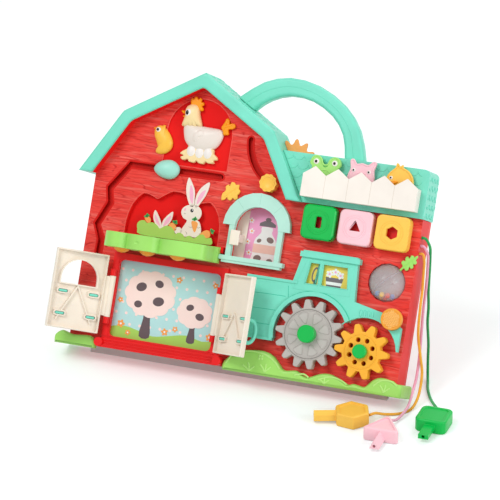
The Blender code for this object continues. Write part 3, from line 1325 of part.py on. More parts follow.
def window(board):
    """The arched frame on the face, and the shutter and the picture behind it."""
    inner = WINDOW_OUTER - WINDOW_BAND

    def about(half, low, high):
        return [rectangle(WINDOW_X - half, WINDOW_X + half, low, high)]

    arch = archway(WINDOW_X, WINDOW_OUTER, WINDOW_ARCH_Z, WINDOW_ARCH_Z)
    frame = slab("window_frame", [arch], WINDOW_FRONT, -GAP)
    jambs = about(WINDOW_JAMB_HALF, SILL_LOW + FUSE, WINDOW_ARCH_Z + FUSE)
    sill = about(SILL_HALF_WIDTH, SILL_LOW + SILL_STEP, SILL_HIGH)
    foot = about(SILL_HALF_WIDTH - SILL_STEP, SILL_LOW, SILL_HIGH - FUSE)
    join(
        frame,
        slab("jambs", jambs, WINDOW_FRONT + 2 * GAP, -GAP),
        slab("sill", sill, WINDOW_FRONT - SILL_STEP, -GAP),
        slab("sill_foot", foot, WINDOW_FRONT - SILL_STEP / 2, -GAP),
    )
    opening = archway(WINDOW_X, inner, SILL_HIGH, WINDOW_OPENING_Z)
    cut(frame, slab("opening", [opening], WINDOW_FRONT - OVERRUN, OVERRUN))
    keep(frame, "pale_mint", board)
    back = SHUTTER_FRONT + SHUTTER_SHEET + 2 * GAP
    left = WINDOW_X - RAIL_HALF_LENGTH - SHUTTER_TRAVEL / 2
    right = WINDOW_X + inner + RAIL_HEIGHT
    low = SHUTTER_BOTTOM - RAIL_HEIGHT
    high = SHUTTER_TOP + RAIL_HEIGHT
    keep(slab("window_picture", [rectangle(left, right, low, high)], back, back + PICTURE_SHEET), "pink",
         board)
    axis = axis_empty("shutter_axis", (SHUTTER_RIGHT, SHUTTER_FRONT, SILL_HIGH), board)
    panel = rectangle(SHUTTER_RIGHT - SHUTTER_WIDTH, SHUTTER_RIGHT, SHUTTER_BOTTOM, SHUTTER_TOP)
    shutter = slab("window_shutter", [panel], SHUTTER_FRONT, SHUTTER_FRONT + SHUTTER_SHEET)
    tab_x = SHUTTER_RIGHT - SHUTTER_NECK / 2
    tab = box("tab", (tab_x - SHUTTER_TAB_WIDTH, SHUTTER_TAB_FRONT, SHUTTER_TAB_LOW),
              (tab_x, WINDOW_FRONT - GAP, SHUTTER_TAB_HIGH))
    soften(tab, FUSE)
    neck = box("neck", (tab_x - SHUTTER_NECK, WINDOW_FRONT - FUSE, SHUTTER_TAB_LOW + SHUTTER_NECK),
               (tab_x - FUSE, SHUTTER_FRONT + FUSE, SHUTTER_TAB_HIGH - SHUTTER_NECK))
    keep_on_axis(join(shutter, tab, neck), "cream", axis)


def doorway(board):
    left = DOORWAY_LEFT - DOORWAY_LAP
    right = DOORWAY_RIGHT + DOORWAY_LAP
    picture = rounded_rectangle(left, right, DOORWAY_LOW - DOORWAY_LAP, DOORWAY_HIGH + DOORWAY_LAP,
                                DOORWAY_CORNER)
    front = SHELL_WALL + GAP
    keep(slab("door_picture", [picture], front, front + PICTURE_SHEET), "sky", board)
    low = DOOR_SILL_HIGH + GAP
    top = DOORWAY_HIGH + FRAME_WIDTH
    outer_left = DOORWAY_LEFT - FRAME_WIDTH
    outer_right = DOORWAY_RIGHT + FRAME_WIDTH
    loop = [
        (outer_left, low), (DOORWAY_LEFT, low), (DOORWAY_LEFT, DOORWAY_HIGH), (DOORWAY_RIGHT, DOORWAY_HIGH),
        (DOORWAY_RIGHT, low), (outer_right, low), (outer_right, top), (outer_left, top),
    ]
    frame = slab("door_frame", [loop], FRAME_FRONT, -GAP)
    extra = []
    bores = []
    for axis_x, barrel_low, barrel_high in hinge_lines():
        for start, end in knuckle_spans(barrel_low, barrel_high):
            extra.append(rod("knuckle", (axis_x, DOOR_AXIS_Y, start), (axis_x, DOOR_AXIS_Y, end),
                             KNUCKLE_RADIUS))
            side = KNUCKLE_RADIUS / 2
            extra.append(box("web", (axis_x - side, DOOR_AXIS_Y, start + FUSE),
                             (axis_x + side, FRAME_FRONT + FUSE, end - FUSE)))
        bores.append(rod("bore", (axis_x, DOOR_AXIS_Y, barrel_low - OVERRUN - FRAME_KNUCKLE),
                         (axis_x, DOOR_AXIS_Y, barrel_high + OVERRUN + FRAME_KNUCKLE),
                         HINGE_PIN_RADIUS + GAP, 10))
    join(frame, *extra)
    keep(cut(frame, *bores), "red", board)
    steps = DOOR_SILL_STEPS
    rise = (DOOR_SILL_HIGH - DOOR_SILL_LOW) / steps
    run = (-DOOR_SILL_FRONT - GAP) / (steps + 1)
    sill = None
    for step in range(steps):
        part = box("door_sill", (DOOR_SILL_LEFT, DOOR_SILL_FRONT + step * run, DOOR_SILL_LOW),
                   (DOOR_SILL_RIGHT, -GAP, DOOR_SILL_LOW + (step + 1) * rise))
        sill = join(sill, part) if sill else part
    bosses = []
    for x in (DOOR_SILL_LEFT, DOOR_SILL_RIGHT):
        bosses.append(disc("boss", x, DOOR_SILL_LOW + SILL_BOSS_RADIUS + GAP, SILL_BOSS_FRONT, -2 * GAP,
                           SILL_BOSS_RADIUS, 16))
    keep(join(sill, *bosses), "red", board)


def hinge_lines():
    return [
        (LEFT_DOOR_AXIS, LEFT_BARREL_LOW, LEFT_BARREL_HIGH),
        (RIGHT_DOOR_AXIS, RIGHT_BARREL_LOW, RIGHT_BARREL_HIGH),
    ]


def knuckle_spans(barrel_low, barrel_high):
    low = barrel_low - GAP
    high = barrel_high + GAP
    return [(low - FRAME_KNUCKLE, low), (high, high + FRAME_KNUCKLE)]


def door(board, name, side, axis_x, width, opening, barrel, spacing, arched):
    """A tray-shaped door modelled shut about its axis, then swung open; side 1 opens to the left."""
    outer = -DOOR_THICKNESS / 2
    inner = DOOR_THICKNESS / 2
    floor = outer + DOOR_FLOOR

    def across(near, far, low, high):
        return rectangle(*sorted((side * near, side * far)), low, high)

    axis = axis_empty(name + "_axis", (axis_x, DOOR_AXIS_Y, 0), board, (0, 0, -side * opening))
    panel = slab(name, [across(DOOR_START, width, DOOR_LOW, DOOR_HIGH)], outer, inner)
    soften(panel, FUSE, 1)
    inside = across(DOOR_START + DOOR_BORDER, width - DOOR_BORDER, DOOR_LOW + DOOR_BORDER,
                    DOOR_HIGH - DOOR_BORDER)
    cut(panel, slab("tray", [inside], floor, inner + OVERRUN))
    middle = side * (DOOR_START + width) / 2
    low, high = barrel
    rib_z = (CLIP_HIGH_Z + CLIP_LOW_Z) / 2
    spread = (width - DOOR_START) / 3
    ribs = [
        [(middle, rib_z + spread), (middle - spread, rib_z - spread)],
        [(middle, rib_z + spread), (middle + spread, rib_z - spread)],
    ]
    rib_back = floor + DOOR_RIB_DEPTH
    extra = [slab("rib", [band(rib, DOOR_RIB / 2, 1)], floor - FUSE, rib_back) for rib in ribs]
    extra.append(rod("barrel", (0, 0, low), (0, 0, high), KNUCKLE_RADIUS))
    extra.append(slab("leaf", [across(0, DOOR_START + DOOR_BORDER / 2, low + FUSE, high - FUSE)],
                      -DOOR_FLOOR / 2, DOOR_FLOOR / 2))
    for near in (CLIP_NEAR, CLIP_NEAR + spacing):
        for z in (CLIP_HIGH_Z, CLIP_LOW_Z):
            pad = across(near - CLIP_LENGTH / 2 - DOOR_BORDER, near + CLIP_LENGTH / 2 + DOOR_BORDER,
                         z - CLIP_HEIGHT, z + CLIP_HEIGHT)
            extra.append(slab("pad", [pad], floor - FUSE / 2, rib_back - FUSE))
    if arched:
        rim = archway(middle, DOOR_ARCH_HALF + DOOR_RIB, DOOR_ARCH_LOW - DOOR_RIB,
                      DOOR_ARCH_LOW + DOOR_ARCH_HEIGHT - DOOR_ARCH_HALF)
        extra.append(slab("rim", [rim], floor - FUSE / 3, rib_back + FUSE))
    join(panel, *extra)
    cuts = [rod("bore", (0, 0, low - OVERRUN), (0, 0, high + OVERRUN), HINGE_PIN_RADIUS + GAP, 10)]
    if arched:
        hole = archway(middle, DOOR_ARCH_HALF, DOOR_ARCH_LOW,
                       DOOR_ARCH_LOW + DOOR_ARCH_HEIGHT - DOOR_ARCH_HALF)
        cuts.append(slab("hole", [hole], outer - OVERRUN, inner + OVERRUN))
    for near in (CLIP_NEAR, CLIP_NEAR + spacing):
        for z in (CLIP_HIGH_Z, CLIP_LOW_Z):
            half = CLIP_LENGTH / 2 + GAP
            slot = across(near - half, near + half, z - CLIP_HEIGHT / 2 - GAP, z + CLIP_HEIGHT / 2 + GAP)
            cuts.append(slab("slot", [slot], outer - OVERRUN, inner + OVERRUN))
    keep(cut(panel, *cuts), "cream", axis)
    back = outer - GAP
    front = back - HANDLE_PLATE
    clip_half = CLIP_LENGTH / 2
    far = CLIP_NEAR + spacing + clip_half
    base = across(CLIP_NEAR - clip_half, far, CLIP_LOW_Z - CLIP_HEIGHT, CLIP_HIGH_Z + CLIP_HEIGHT)
    handle = slab(name + "_handle", [base], front, back)
    clips = []
    for near in (CLIP_NEAR, CLIP_NEAR + spacing):
        for z in (CLIP_HIGH_Z, CLIP_LOW_Z):
            clip = across(near - clip_half, near + clip_half, z - CLIP_HEIGHT / 2, z + CLIP_HEIGHT / 2)
            clips.append(slab("clip", [clip], back - FUSE, rib_back - FUSE - GAP))
    middle_z = (CLIP_HIGH_Z + CLIP_LOW_Z) / 2
    near = far - LOOP_INSET - LOOP_BAR
    grip_low = (min(side * near, side * (near + LOOP_BAR)), outer - LOOP_REACH, middle_z - LOOP_HALF_HEIGHT)
    grip_high = (max(side * near, side * (near + LOOP_BAR)), front + FUSE, middle_z + LOOP_HALF_HEIGHT)
    grip = box("grip", grip_low, grip_high)
    hole = box("hole", (grip_low[0] - OVERRUN, outer - LOOP_REACH + LOOP_BAR, grip_low[2] + LOOP_BAR),
               (grip_high[0] + OVERRUN, front, grip_high[2] - LOOP_BAR))
    keep(join(handle, cut(grip, hole), *clips), "mint", axis)
    spans = knuckle_spans(low, high)
    pin = rod(name.replace("door", "hinge_pin"), (axis_x, DOOR_AXIS_Y, spans[0][0]),
              (axis_x, DOOR_AXIS_Y, spans[1][1]),
              HINGE_PIN_RADIUS, 10)
    keep(pin, "steel", board)


def fence(board):
    """The picket tray on the annex roof, open at its top for the animals."""
    pitch = (FENCE_RIGHT - FENCE_LEFT) / FENCE_PICKETS
    loop = [(FENCE_RIGHT, FENCE_LOW), (FENCE_RIGHT, FENCE_VALLEY)]
    for count in reversed(range(FENCE_PICKETS)):
        loop.append((FENCE_LEFT + (count + 0.5) * pitch, FENCE_PEAK))
        loop.append((FENCE_LEFT + count * pitch, FENCE_VALLEY))
    loop.append((FENCE_LEFT, FENCE_LOW))
    tray = slab("fence", [loop], FENCE_FRONT, FENCE_BACK)
    inside = rectangle(FENCE_LEFT + FENCE_WALL, FENCE_RIGHT - FENCE_WALL, FENCE_LOW + FENCE_WALL,
                       FENCE_PEAK + OVERRUN)
    trough = slab("inside", [inside], FENCE_FRONT + FENCE_WALL, FENCE_BACK + OVERRUN)
    top = FENCE_PEAK + OVERRUN
    low_back = box("back", (FENCE_LEFT - OVERRUN, FENCE_FRONT + FENCE_WALL + RUNNING_GAP, FENCE_VALLEY),
                   (FENCE_RIGHT + OVERRUN, FENCE_BACK + OVERRUN, top))
    keep(cut(tray, trough, low_back), "cream", board)


def popup(board, name, shares, x, size, colour):
    axis = axis_empty(name + "_axis", (x, POPUP_FRONT, POPUP_STEM_Z), board)
    loop = smooth(outline_from(shares, x, POPUP_LOW, size, size), False)
    back = POPUP_FRONT + POPUP_THICKNESS
    plate_piece = slab(name, [loop], POPUP_FRONT, back)
    head = SHELL_WALL + GAP
    stem = disc("stem", x, POPUP_STEM_Z, back - FUSE, head + SLIDER_HEAD_THICKNESS / 2, POPUP_STEM_RADIUS, 10)
    end = disc("head", x, POPUP_STEM_Z, head, head + SLIDER_HEAD_THICKNESS, SLIDER_HEAD_RADIUS / 2, 12)
    keep_on_axis(join(plate_piece, stem, end), colour, axis)


def keyhole(kind, x, z, margin=0.0):
    """The outline of a lock's opening and of the key that fits it: a bar, a triangle or a hexagon."""
    if kind == "bar":
        return rectangle(x - SLOT_HALF_WIDTH - margin, x + SLOT_HALF_WIDTH + margin,
                         z - SLOT_HALF_HEIGHT - margin, z + SLOT_HALF_HEIGHT + margin)
    if kind == "triangle":
        return circle(x, z, KEYHOLE_RADIUS + 2 * margin, 3, math.pi / 2)
    return circle(x, z, KEYHOLE_RADIUS + margin, 6, math.pi / 6)


def locks(board):
    colours = [("green", "bar"), ("pink", "triangle"), ("yellow", "hexagon")]
    for (colour, kind), x in zip(colours, block_centres()):
        half = BLOCK_WIDTH / 2
        face = rounded_rectangle(x - half, x + half, BLOCK_Z - half, BLOCK_Z + half, BLOCK_CORNER)
        block = slab("lock_block_" + colour, [face], BLOCK_FRONT, BLOCK_BACK + BLOCK_ROUND)
        soften(block, BLOCK_ROUND)
        room = disc("room", x, BLOCK_Z, BLOCK_FRONT + BLOCK_FACE, BLOCK_BACK + OVERRUN, PLUNGER_RADIUS + GAP)
        opening = slab("opening", [keyhole(kind, x, BLOCK_Z)], BLOCK_FRONT - OVERRUN,
                       BLOCK_FRONT + BLOCK_FACE + FUSE)
        back = box("back", (x - BLOCK_WIDTH, BLOCK_BACK, BLOCK_Z - BLOCK_WIDTH),
                   (x + BLOCK_WIDTH, OVERRUN, BLOCK_Z + BLOCK_WIDTH))
        keep(cut(block, room, opening, back), colour, board)
        axis = axis_empty("plunger_axis_" + colour, (x, PLUNGER_REST, BLOCK_Z), board)
        plunger = disc("plunger_" + colour, x, BLOCK_Z, PLUNGER_REST, PLUNGER_REST + PLUNGER_SHEET,
                       PLUNGER_RADIUS)
        head = PLUNGER_STEM_END - SLIDER_HEAD_THICKNESS
        stem = disc("stem", x, BLOCK_Z, PLUNGER_REST + FUSE, PLUNGER_STEM_END - FUSE, PLUNGER_STEM_RADIUS, 12)
        join(plunger, stem, disc("head", x, BLOCK_Z, head, PLUNGER_STEM_END, PLUNGER_HEAD_RADIUS, 16))
        keep_on_axis(plunger, "red", axis)


def tractor(board):
    """The tractor and its trailer in one moulding round the two gears."""
    grey = (GREY_X, GREY_Z)
    rim = FENDER_GREY_RADIUS + FENDER_BAND
    body = slab("tractor_body", [[
        (CAB_LEFT, CAB_TOP), (CAB_LEFT - CAB_LEAN * (CAB_TOP - TRAILER_TOP), TRAILER_TOP),
        (TRAILER_LEFT, TRAILER_TOP),
        (TRAILER_LEFT, TRAILER_LOW), (GREY_X - rim, TRAILER_LOW), (GREY_X, GREY_Z), (YELLOW_X, YELLOW_Z),
        (YELLOW_X + FENDER_YELLOW_RADIUS, FENDER_LOW), (FENDER_RIGHT, FENDER_LOW), (FENDER_RIGHT, FENDER_TOP),
        (HOOD_END_X + HEADLIGHT_RADIUS, HEADLIGHT_Z), (HOOD_END_X, HOOD_END_Z),
        (CAB_RIGHT + TRACTOR_LIP, HOOD_Z), (CAB_RIGHT, CAB_TOP),
    ]], TRACTOR_FRONT, -GAP)
    lip = CAB_ROOF / 2
    roof = slab("roof", [rectangle(CAB_LEFT - lip, CAB_RIGHT + lip, CAB_TOP - CAB_ROOF, CAB_TOP)],
                TRACTOR_RAISED - FUSE, -2 * GAP)
    cap = slab("cap", [rectangle(CAB_LEFT, CAB_RIGHT, CAB_TOP - CAB_ROOF / 2, CAB_TOP + lip / 2)],
               TRACTOR_RAISED, -3 * GAP)
    fender = slab("fender", [arc(*grey, rim, 0.0, math.pi + FENDER_DROP, 20) + [grey]], TRACTOR_RAISED,
                  -4 * GAP)
    rail = CAB_POST
    rails = []
    for z in (TRAILER_TOP - rail, TRAILER_LOW):
        line = rectangle(TRAILER_LEFT - rail / 2, GREY_X - FENDER_GREY_RADIUS / 2, z, z + rail)
        rails.append(slab("rail", [line], (TRACTOR_FRONT + TRACTOR_RAISED) / 2, -5 * GAP))
    join(body, roof, cap, fender, *rails)
    cuts = [
        disc("grey_arch", *grey, TRACTOR_RAISED - OVERRUN, OVERRUN, FENDER_GREY_RADIUS, 40),
        disc("yellow_arch", YELLOW_X, YELLOW_Z, TRACTOR_RAISED - OVERRUN, OVERRUN, FENDER_YELLOW_RADIUS, 36),
        box("below", (GREY_X - FENDER_GREY_RADIUS, TRACTOR_RAISED - OVERRUN, 0),
            (YELLOW_X + FENDER_YELLOW_RADIUS - FUSE, OVERRUN, YELLOW_Z)),
        disc("headlight", HEADLIGHT_X, HEADLIGHT_Z, TRACTOR_RAISED - OVERRUN, HEADLIGHT_POCKET,
             HEADLIGHT_RADIUS + GAP),
        disc("stem", HEADLIGHT_X, HEADLIGHT_Z, TRACTOR_FRONT, OVERRUN, HEADLIGHT_STEM_RADIUS + GAP,
             SMALL_ROUND_STEPS),
    ]
    middle = CAB_LEFT + (CAB_RIGHT - CAB_LEFT) * CAB_SPLIT_SHARE
    margin = 2 * CAB_POST
    slant = CAB_LEAN * (CAB_WINDOW_HIGH - CAB_WINDOW_LOW)
    panes = [
        [(CAB_LEFT + margin / 2 - slant, CAB_WINDOW_LOW), (middle - CAB_POST - slant / 2, CAB_WINDOW_LOW),
         (middle - CAB_POST, CAB_WINDOW_HIGH), (CAB_LEFT + margin, CAB_WINDOW_HIGH)],
        [(middle - slant / 2, CAB_WINDOW_LOW), (CAB_RIGHT - margin, CAB_WINDOW_LOW),
         (CAB_RIGHT - margin, CAB_WINDOW_HIGH), (middle, CAB_WINDOW_HIGH)],
    ]
    for pane in panes:
        cuts.append(slab("pane", [pane], TRACTOR_FRONT - OVERRUN, OVERRUN))
    pocket_front = -2 * PICTURE_SHEET - GAP
    low = CAB_WINDOW_LOW - CAB_POST
    high = CAB_WINDOW_HIGH + CAB_POST
    left = CAB_LEFT - slant
    right = CAB_RIGHT - CAB_POST
    cuts.append(slab("pocket", [rectangle(left - GAP, right + GAP, low - GAP, high + GAP)], pocket_front,
                     OVERRUN))
    keep(cut(body, *cuts), "mint", board)
    card = slab("cab_picture", [rectangle(left, right, low, high)], pocket_front + GAP,
                pocket_front + GAP + PICTURE_SHEET)
    keep(card, "yellow", board)


def headlight(board):
    axis = axis_empty("headlight_axis", (HEADLIGHT_X, HEADLIGHT_BACK, HEADLIGHT_Z), board)
    lamp = disc("headlight", HEADLIGHT_X, HEADLIGHT_Z, HEADLIGHT_FRONT, HEADLIGHT_BACK, HEADLIGHT_RADIUS)
    soften(lamp, FIGURE_ROUND / 2)
    head = SHELL_WALL + GAP
    stem = disc("stem", HEADLIGHT_X, HEADLIGHT_Z, HEADLIGHT_BACK - FUSE, head + FUSE, HEADLIGHT_STEM_RADIUS,
                12)
    end = disc("head", HEADLIGHT_X, HEADLIGHT_Z, head, HEADLIGHT_STEM_END, SLIDER_HEAD_RADIUS, 16)
    keep_on_axis(join(lamp, stem, end), "orange", axis)


def gear_outline(x, z, teeth, tip, root, turn):
    pitch = math.tau / teeth
    loop = []
    for tooth in range(teeth):
        centre = turn + tooth * pitch
        corners = [(-TOOTH_ROOT_SHARE, root), (-TOOTH_TIP_SHARE, tip), (TOOTH_TIP_SHARE, tip),
                   (TOOTH_ROOT_SHARE, root)]
        for share, radius in corners:
            angle = centre + share * pitch
            loop.append((x + radius * math.cos(angle), z + radius * math.sin(angle)))
    return loop


def yellow_turn():
    """The angle of the yellow gear's first tooth, so that its gap faces the grey gear's tooth."""
    line = math.atan2(YELLOW_Z - GREY_Z, YELLOW_X - GREY_X)
    phase = (GREY_TURN - line) * GREY_TEETH / math.tau % 1
    return line + math.pi + (0.5 - phase) * math.tau / YELLOW_TEETH


def gears(board):
    """Two meshing gears, each on a hub that is fixed in the face."""
    grey_axis = axis_empty("gear_grey_axis", (GREY_X, 0, GREY_Z), board)
    yellow_axis = axis_empty("gear_yellow_axis", (YELLOW_X, 0, YELLOW_Z), board)
    front = GEAR_FRONT + GEAR_DISH
    grey = slab("gear_grey", [gear_outline(GREY_X, GREY_Z, GREY_TEETH, GREY_TIP, GREY_ROOT, GREY_TURN)],
                GEAR_FRONT, GEAR_BACK)
    cuts = [disc("bore", GREY_X, GREY_Z, GEAR_FRONT - OVERRUN, 0, HUB_STEM_RADIUS + GAP, SMALL_ROUND_STEPS)]
    groove = GREY_RING + FUSE
    cuts.append(slab("groove", [circle(GREY_X, GREY_Z, groove), circle(GREY_X, GREY_Z, GREY_RING)],
                     GEAR_FRONT - OVERRUN, GEAR_FRONT + FUSE))
    for count in range(GREY_RELIEFS):
        middle = math.tau * (count + 0.5) / GREY_RELIEFS
        wide = arc(GREY_X, GREY_Z, GREY_RELIEF_OUTER, middle - RELIEF_HALF_ANGLE,
                   middle + RELIEF_HALF_ANGLE, 3)
        point = arc(GREY_X, GREY_Z, GREY_RELIEF_INNER, middle + RELIEF_HALF_ANGLE / 2,
                    middle - RELIEF_HALF_ANGLE / 2, 1)
        cuts.append(slab("relief", [wide + point], GEAR_FRONT - OVERRUN, front))
    keep_on_axis(cut(grey, *cuts), "grey", grey_axis)
    loop = gear_outline(YELLOW_X, YELLOW_Z, YELLOW_TEETH, YELLOW_TIP, YELLOW_ROOT, yellow_turn())
    yellow = slab("gear_yellow", [loop], GEAR_FRONT, GEAR_BACK)
    cuts = [disc("bore", YELLOW_X, YELLOW_Z, GEAR_FRONT - OVERRUN, 0, HUB_STEM_RADIUS + GAP,
                 SMALL_ROUND_STEPS)]
    for count in range(YELLOW_HOLES):
        angle = math.tau * (count + 0.5) / YELLOW_HOLES
        x = YELLOW_X + YELLOW_HOLE_CIRCLE * math.cos(angle)
        z = YELLOW_Z + YELLOW_HOLE_CIRCLE * math.sin(angle)
        cuts.append(disc("hole", x, z, GEAR_FRONT - OVERRUN, 0, YELLOW_HOLE_RADIUS, 8))
    keep_on_axis(cut(yellow, *cuts), "yellow", yellow_axis)
    hubs = [("hub_grey", GREY_X, GREY_Z, GREY_HUB_RADIUS, GREY_HUB_FRONT),
            ("hub_yellow", YELLOW_X, YELLOW_Z, YELLOW_HUB_RADIUS, YELLOW_HUB_FRONT)]
    for name, x, z, radius, cap_front in hubs:
        cap = disc(name, x, z, cap_front, GEAR_FRONT - RUNNING_GAP, radius)
        soften(cap, FIGURE_ROUND / 2)
        keep(join(cap, disc("stem", x, z, GEAR_FRONT - FUSE, SHELL_WALL, HUB_STEM_RADIUS,
                            SMALL_ROUND_STEPS)), "green", board)


def rattle(board):
    axis = axis_empty("ball_axis", (BALL_X, BALL_Y, BALL_Z), board)
    centre = (BALL_X, BALL_Y, BALL_Z)
    shell = ball("rattle_ball", centre, (BALL_RADIUS, BALL_RADIUS, BALL_RADIUS), 20, 12)
    inner = BALL_RADIUS - BALL_WALL
    reach = BALL_RADIUS + TRUNNION_LENGTH
    axles = []
    for side in (-1, 1):
        start = (BALL_X, BALL_Y, BALL_Z + side * (BALL_RADIUS - BALL_WALL / 2))
        axles.append(rod("axle", start, (BALL_X, BALL_Y, BALL_Z + side * reach), TRUNNION_RADIUS, 12))
    join(shell, *axles)
    hollow = ball("hollow", centre, (inner, inner, inner), 20, 12)
    vent = rod("vent", centre, (BALL_X, BALL_Y + BALL_RADIUS + OVERRUN, BALL_Z), BALL_VENT, 10)
    keep_on_axis(cut(shell, hollow, vent), "glass", axis)
    beads = None
    floor = BALL_Z - inner + BEAD_RADIUS + GAP
    for x_share, y_share, z_share in BEAD_PLACE_SHARES:
        place = (BALL_X + x_share * BEAD_RADIUS, BALL_Y + y_share * BEAD_RADIUS,
                 floor + z_share * BEAD_RADIUS)
        bead = ball("rattle_beads", place, (BEAD_RADIUS, BEAD_RADIUS, BEAD_RADIUS), 8, 6)
        beads = join(beads, bead) if beads else bead
    keep_on_axis(beads, "orange", axis)


def rear_stand(board):
    """A framed leg that swings out behind the board and holds it at its lean."""
    turn = (-STAND_OPEN, 0, 0)
    axis = axis_empty("stand_axis", (0, STAND_PIVOT_Y, STAND_PIVOT_Z), board, (STAND_OPEN, 0, 0))
    half = STAND_HALF_WIDTH
    top = STAND_PIN_RADIUS
    outer = rectangle(-half, half, -STAND_LENGTH, top)
    inner = rectangle(-half + STAND_BAR, half - STAND_BAR, -STAND_LENGTH + STAND_BAR, -STAND_BAR)
    leg = slab("rear_stand", [outer, inner], -STAND_SHEET / 2, STAND_SHEET / 2)
    reach = half + LUG_WIDTH
    join(leg, rod("pin", (-reach, 0, 0), (reach, 0, 0), STAND_PIN_RADIUS))
    tilt = Matrix.Rotation(turn[0], 4, "X") @ Matrix.Rotation(LEAN, 4, "X")
    floor = box("floor", (-BODY_HALF_WIDTH, -STAND_LENGTH, -STAND_LENGTH), (BODY_HALF_WIDTH, STAND_LENGTH, 0))
    pivot_height = STAND_PIVOT_Z * math.cos(LEAN) - STAND_PIVOT_Y * math.sin(LEAN) + BOARD_Z
    floor.data.transform(tilt @ Matrix.Translation((0, 0, -pivot_height)))
    keep(cut(leg, floor), "red", axis)


def cord(name, route, colour):
    spaced = smooth(route, False, 12)
    points = [Vector(spaced[0])]
    for place in spaced[1:]:
        if (Vector(place) - points[-1]).length >= CORD_STEP:
            points.append(Vector(place))
    points[-1] = Vector(spaced[-1])
    curve = bpy.data.curves.new(name, "CURVE")
    curve.dimensions = "3D"
    curve.bevel_depth = CORD_RADIUS
    curve.bevel_resolution = 2
    curve.use_fill_caps = True
    spline = curve.splines.new("POLY")
    spline.points.add(len(points) - 1)
    for point, place in zip(spline.points, points):
        point.co = (*place, 1)
    piece = add_object(name, curve)
    tube = piece_from_curve(piece)
    settle(tube)
    keep(tube, colour, None)


def piece_from_curve(guide):
    graph = bpy.context.evaluated_depsgraph_get()
    mesh = bpy.data.meshes.new_from_object(guide.evaluated_get(graph))
    name = guide.name
    bpy.data.objects.remove(guide)
    return add_object(name, mesh)


def key(name, colour, head_loop, shank_start, shank_end, kind, socket):
    """A flat key: a thick head with a sunk face, a shank with an eye in its tip and a cord socket behind."""
    head = plate(name, [head_loop], 0, KEY_HEIGHT)
    soften(head, KEY_ROUND)
    start = Vector((*shank_start, KEY_SHANK_MIDDLE))
    end = Vector((*shank_end, KEY_SHANK_MIDDLE))
    length = (end - start).length
    profile = keyhole(kind, 0, 0, -KEY_FIT)
    if kind == "bar":
        profile = [(z, -x) for x, z in profile]
    shank = slab("shank", [profile], 0, length)
    heading = math.atan2(end.y - start.y, end.x - start.x) - math.pi / 2
    place = Matrix.Translation(start) @ Matrix.Rotation(heading, 4, "Z")
    shank.data.transform(place)
    eye_start = end + (start - end).normalized() * KEY_EYE_DEPTH
    eye_end = end + (end - start).normalized() * OVERRUN
    join(head, shank)
    middle = sum((Vector(point) for point in head_loop), Vector((0, 0))) / len(head_loop)
    sunk_loop = [tuple(middle + (Vector(point) - middle) * KEY_SUNK_SHARE) for point in head_loop]
    sunk = plate("sunk", [sunk_loop], KEY_HEIGHT - KEY_RECESS, KEY_HEIGHT + OVERRUN)
    toward = (Vector(socket[1]) - Vector(socket[0])).normalized()
    hole_start = Vector(socket[0]) - toward * OVERRUN * 2
    hole = rod("socket", hole_start, Vector(socket[0]) + toward * GAP, CORD_RADIUS + GAP, 10)
    cut(head, sunk, rod("eye", eye_start, eye_end, KEY_EYE_RADIUS, 8), hole)
    keep(head, colour, None)


def keys_and_cords():
    x, y = GREEN_KEY_PLACE
    half = GREEN_KEY_HALF
    loop = rounded_rectangle(x - half, x + half, y - half, y + half, GREEN_KEY_CORNER)
    end = GREEN_CORD_ROUTE
    key("key_green", "green", loop, (x, y - half + FUSE), (x, y - half - GREEN_SHANK_LENGTH), "bar",
        (end[-1], end[-2]))
    x, y = PINK_KEY_PLACE
    corners = circle(x, y, PINK_KEY_RADIUS, 3, PINK_KEY_TURN)
    loop = []
    for index, corner in enumerate(corners):
        toward = Vector((x, y)) - Vector(corner)
        centre = Vector(corner) + toward * KEY_CORNER_SHARE
        heading = PINK_KEY_TURN + index * math.tau / 3
        loop += arc(centre.x, centre.y, PINK_KEY_RADIUS * KEY_CORNER_SHARE / 2, heading - math.pi / 3,
                    heading + math.pi / 3, 4)
    away = Vector((x, y)) - Vector(corners[0])
    base = Vector((x, y)) + away / 2 - away.normalized() * 2 * FUSE
    tip = base + away.normalized() * PINK_SHANK_LENGTH
    end = PINK_CORD_ROUTE
    key("key_pink", "pink", loop, tuple(base), tuple(tip), "triangle", (end[-1], end[-2]))
    x, y = YELLOW_KEY_PLACE
    turn = YELLOW_KEY_TURN
    loop = circle(x, y, YELLOW_KEY_RADIUS, 6, turn + math.pi / 6)
    flat = YELLOW_KEY_RADIUS * math.cos(math.pi / 6)
    away = Vector((math.cos(turn + math.pi), math.sin(turn + math.pi)))
    base = Vector((x, y)) + away * (flat - FUSE)
    end = YELLOW_CORD_ROUTE
    key("key_yellow", "yellow", loop, tuple(base), tuple(base + away * YELLOW_SHANK_LENGTH), "hexagon",
        (end[-1], end[-2]))
    cord("cord_green", GREEN_CORD_ROUTE, "green")
    cord("cord_pink", PINK_CORD_ROUTE, "pink")
    cord("cord_yellow", YELLOW_CORD_ROUTE, "yellow")


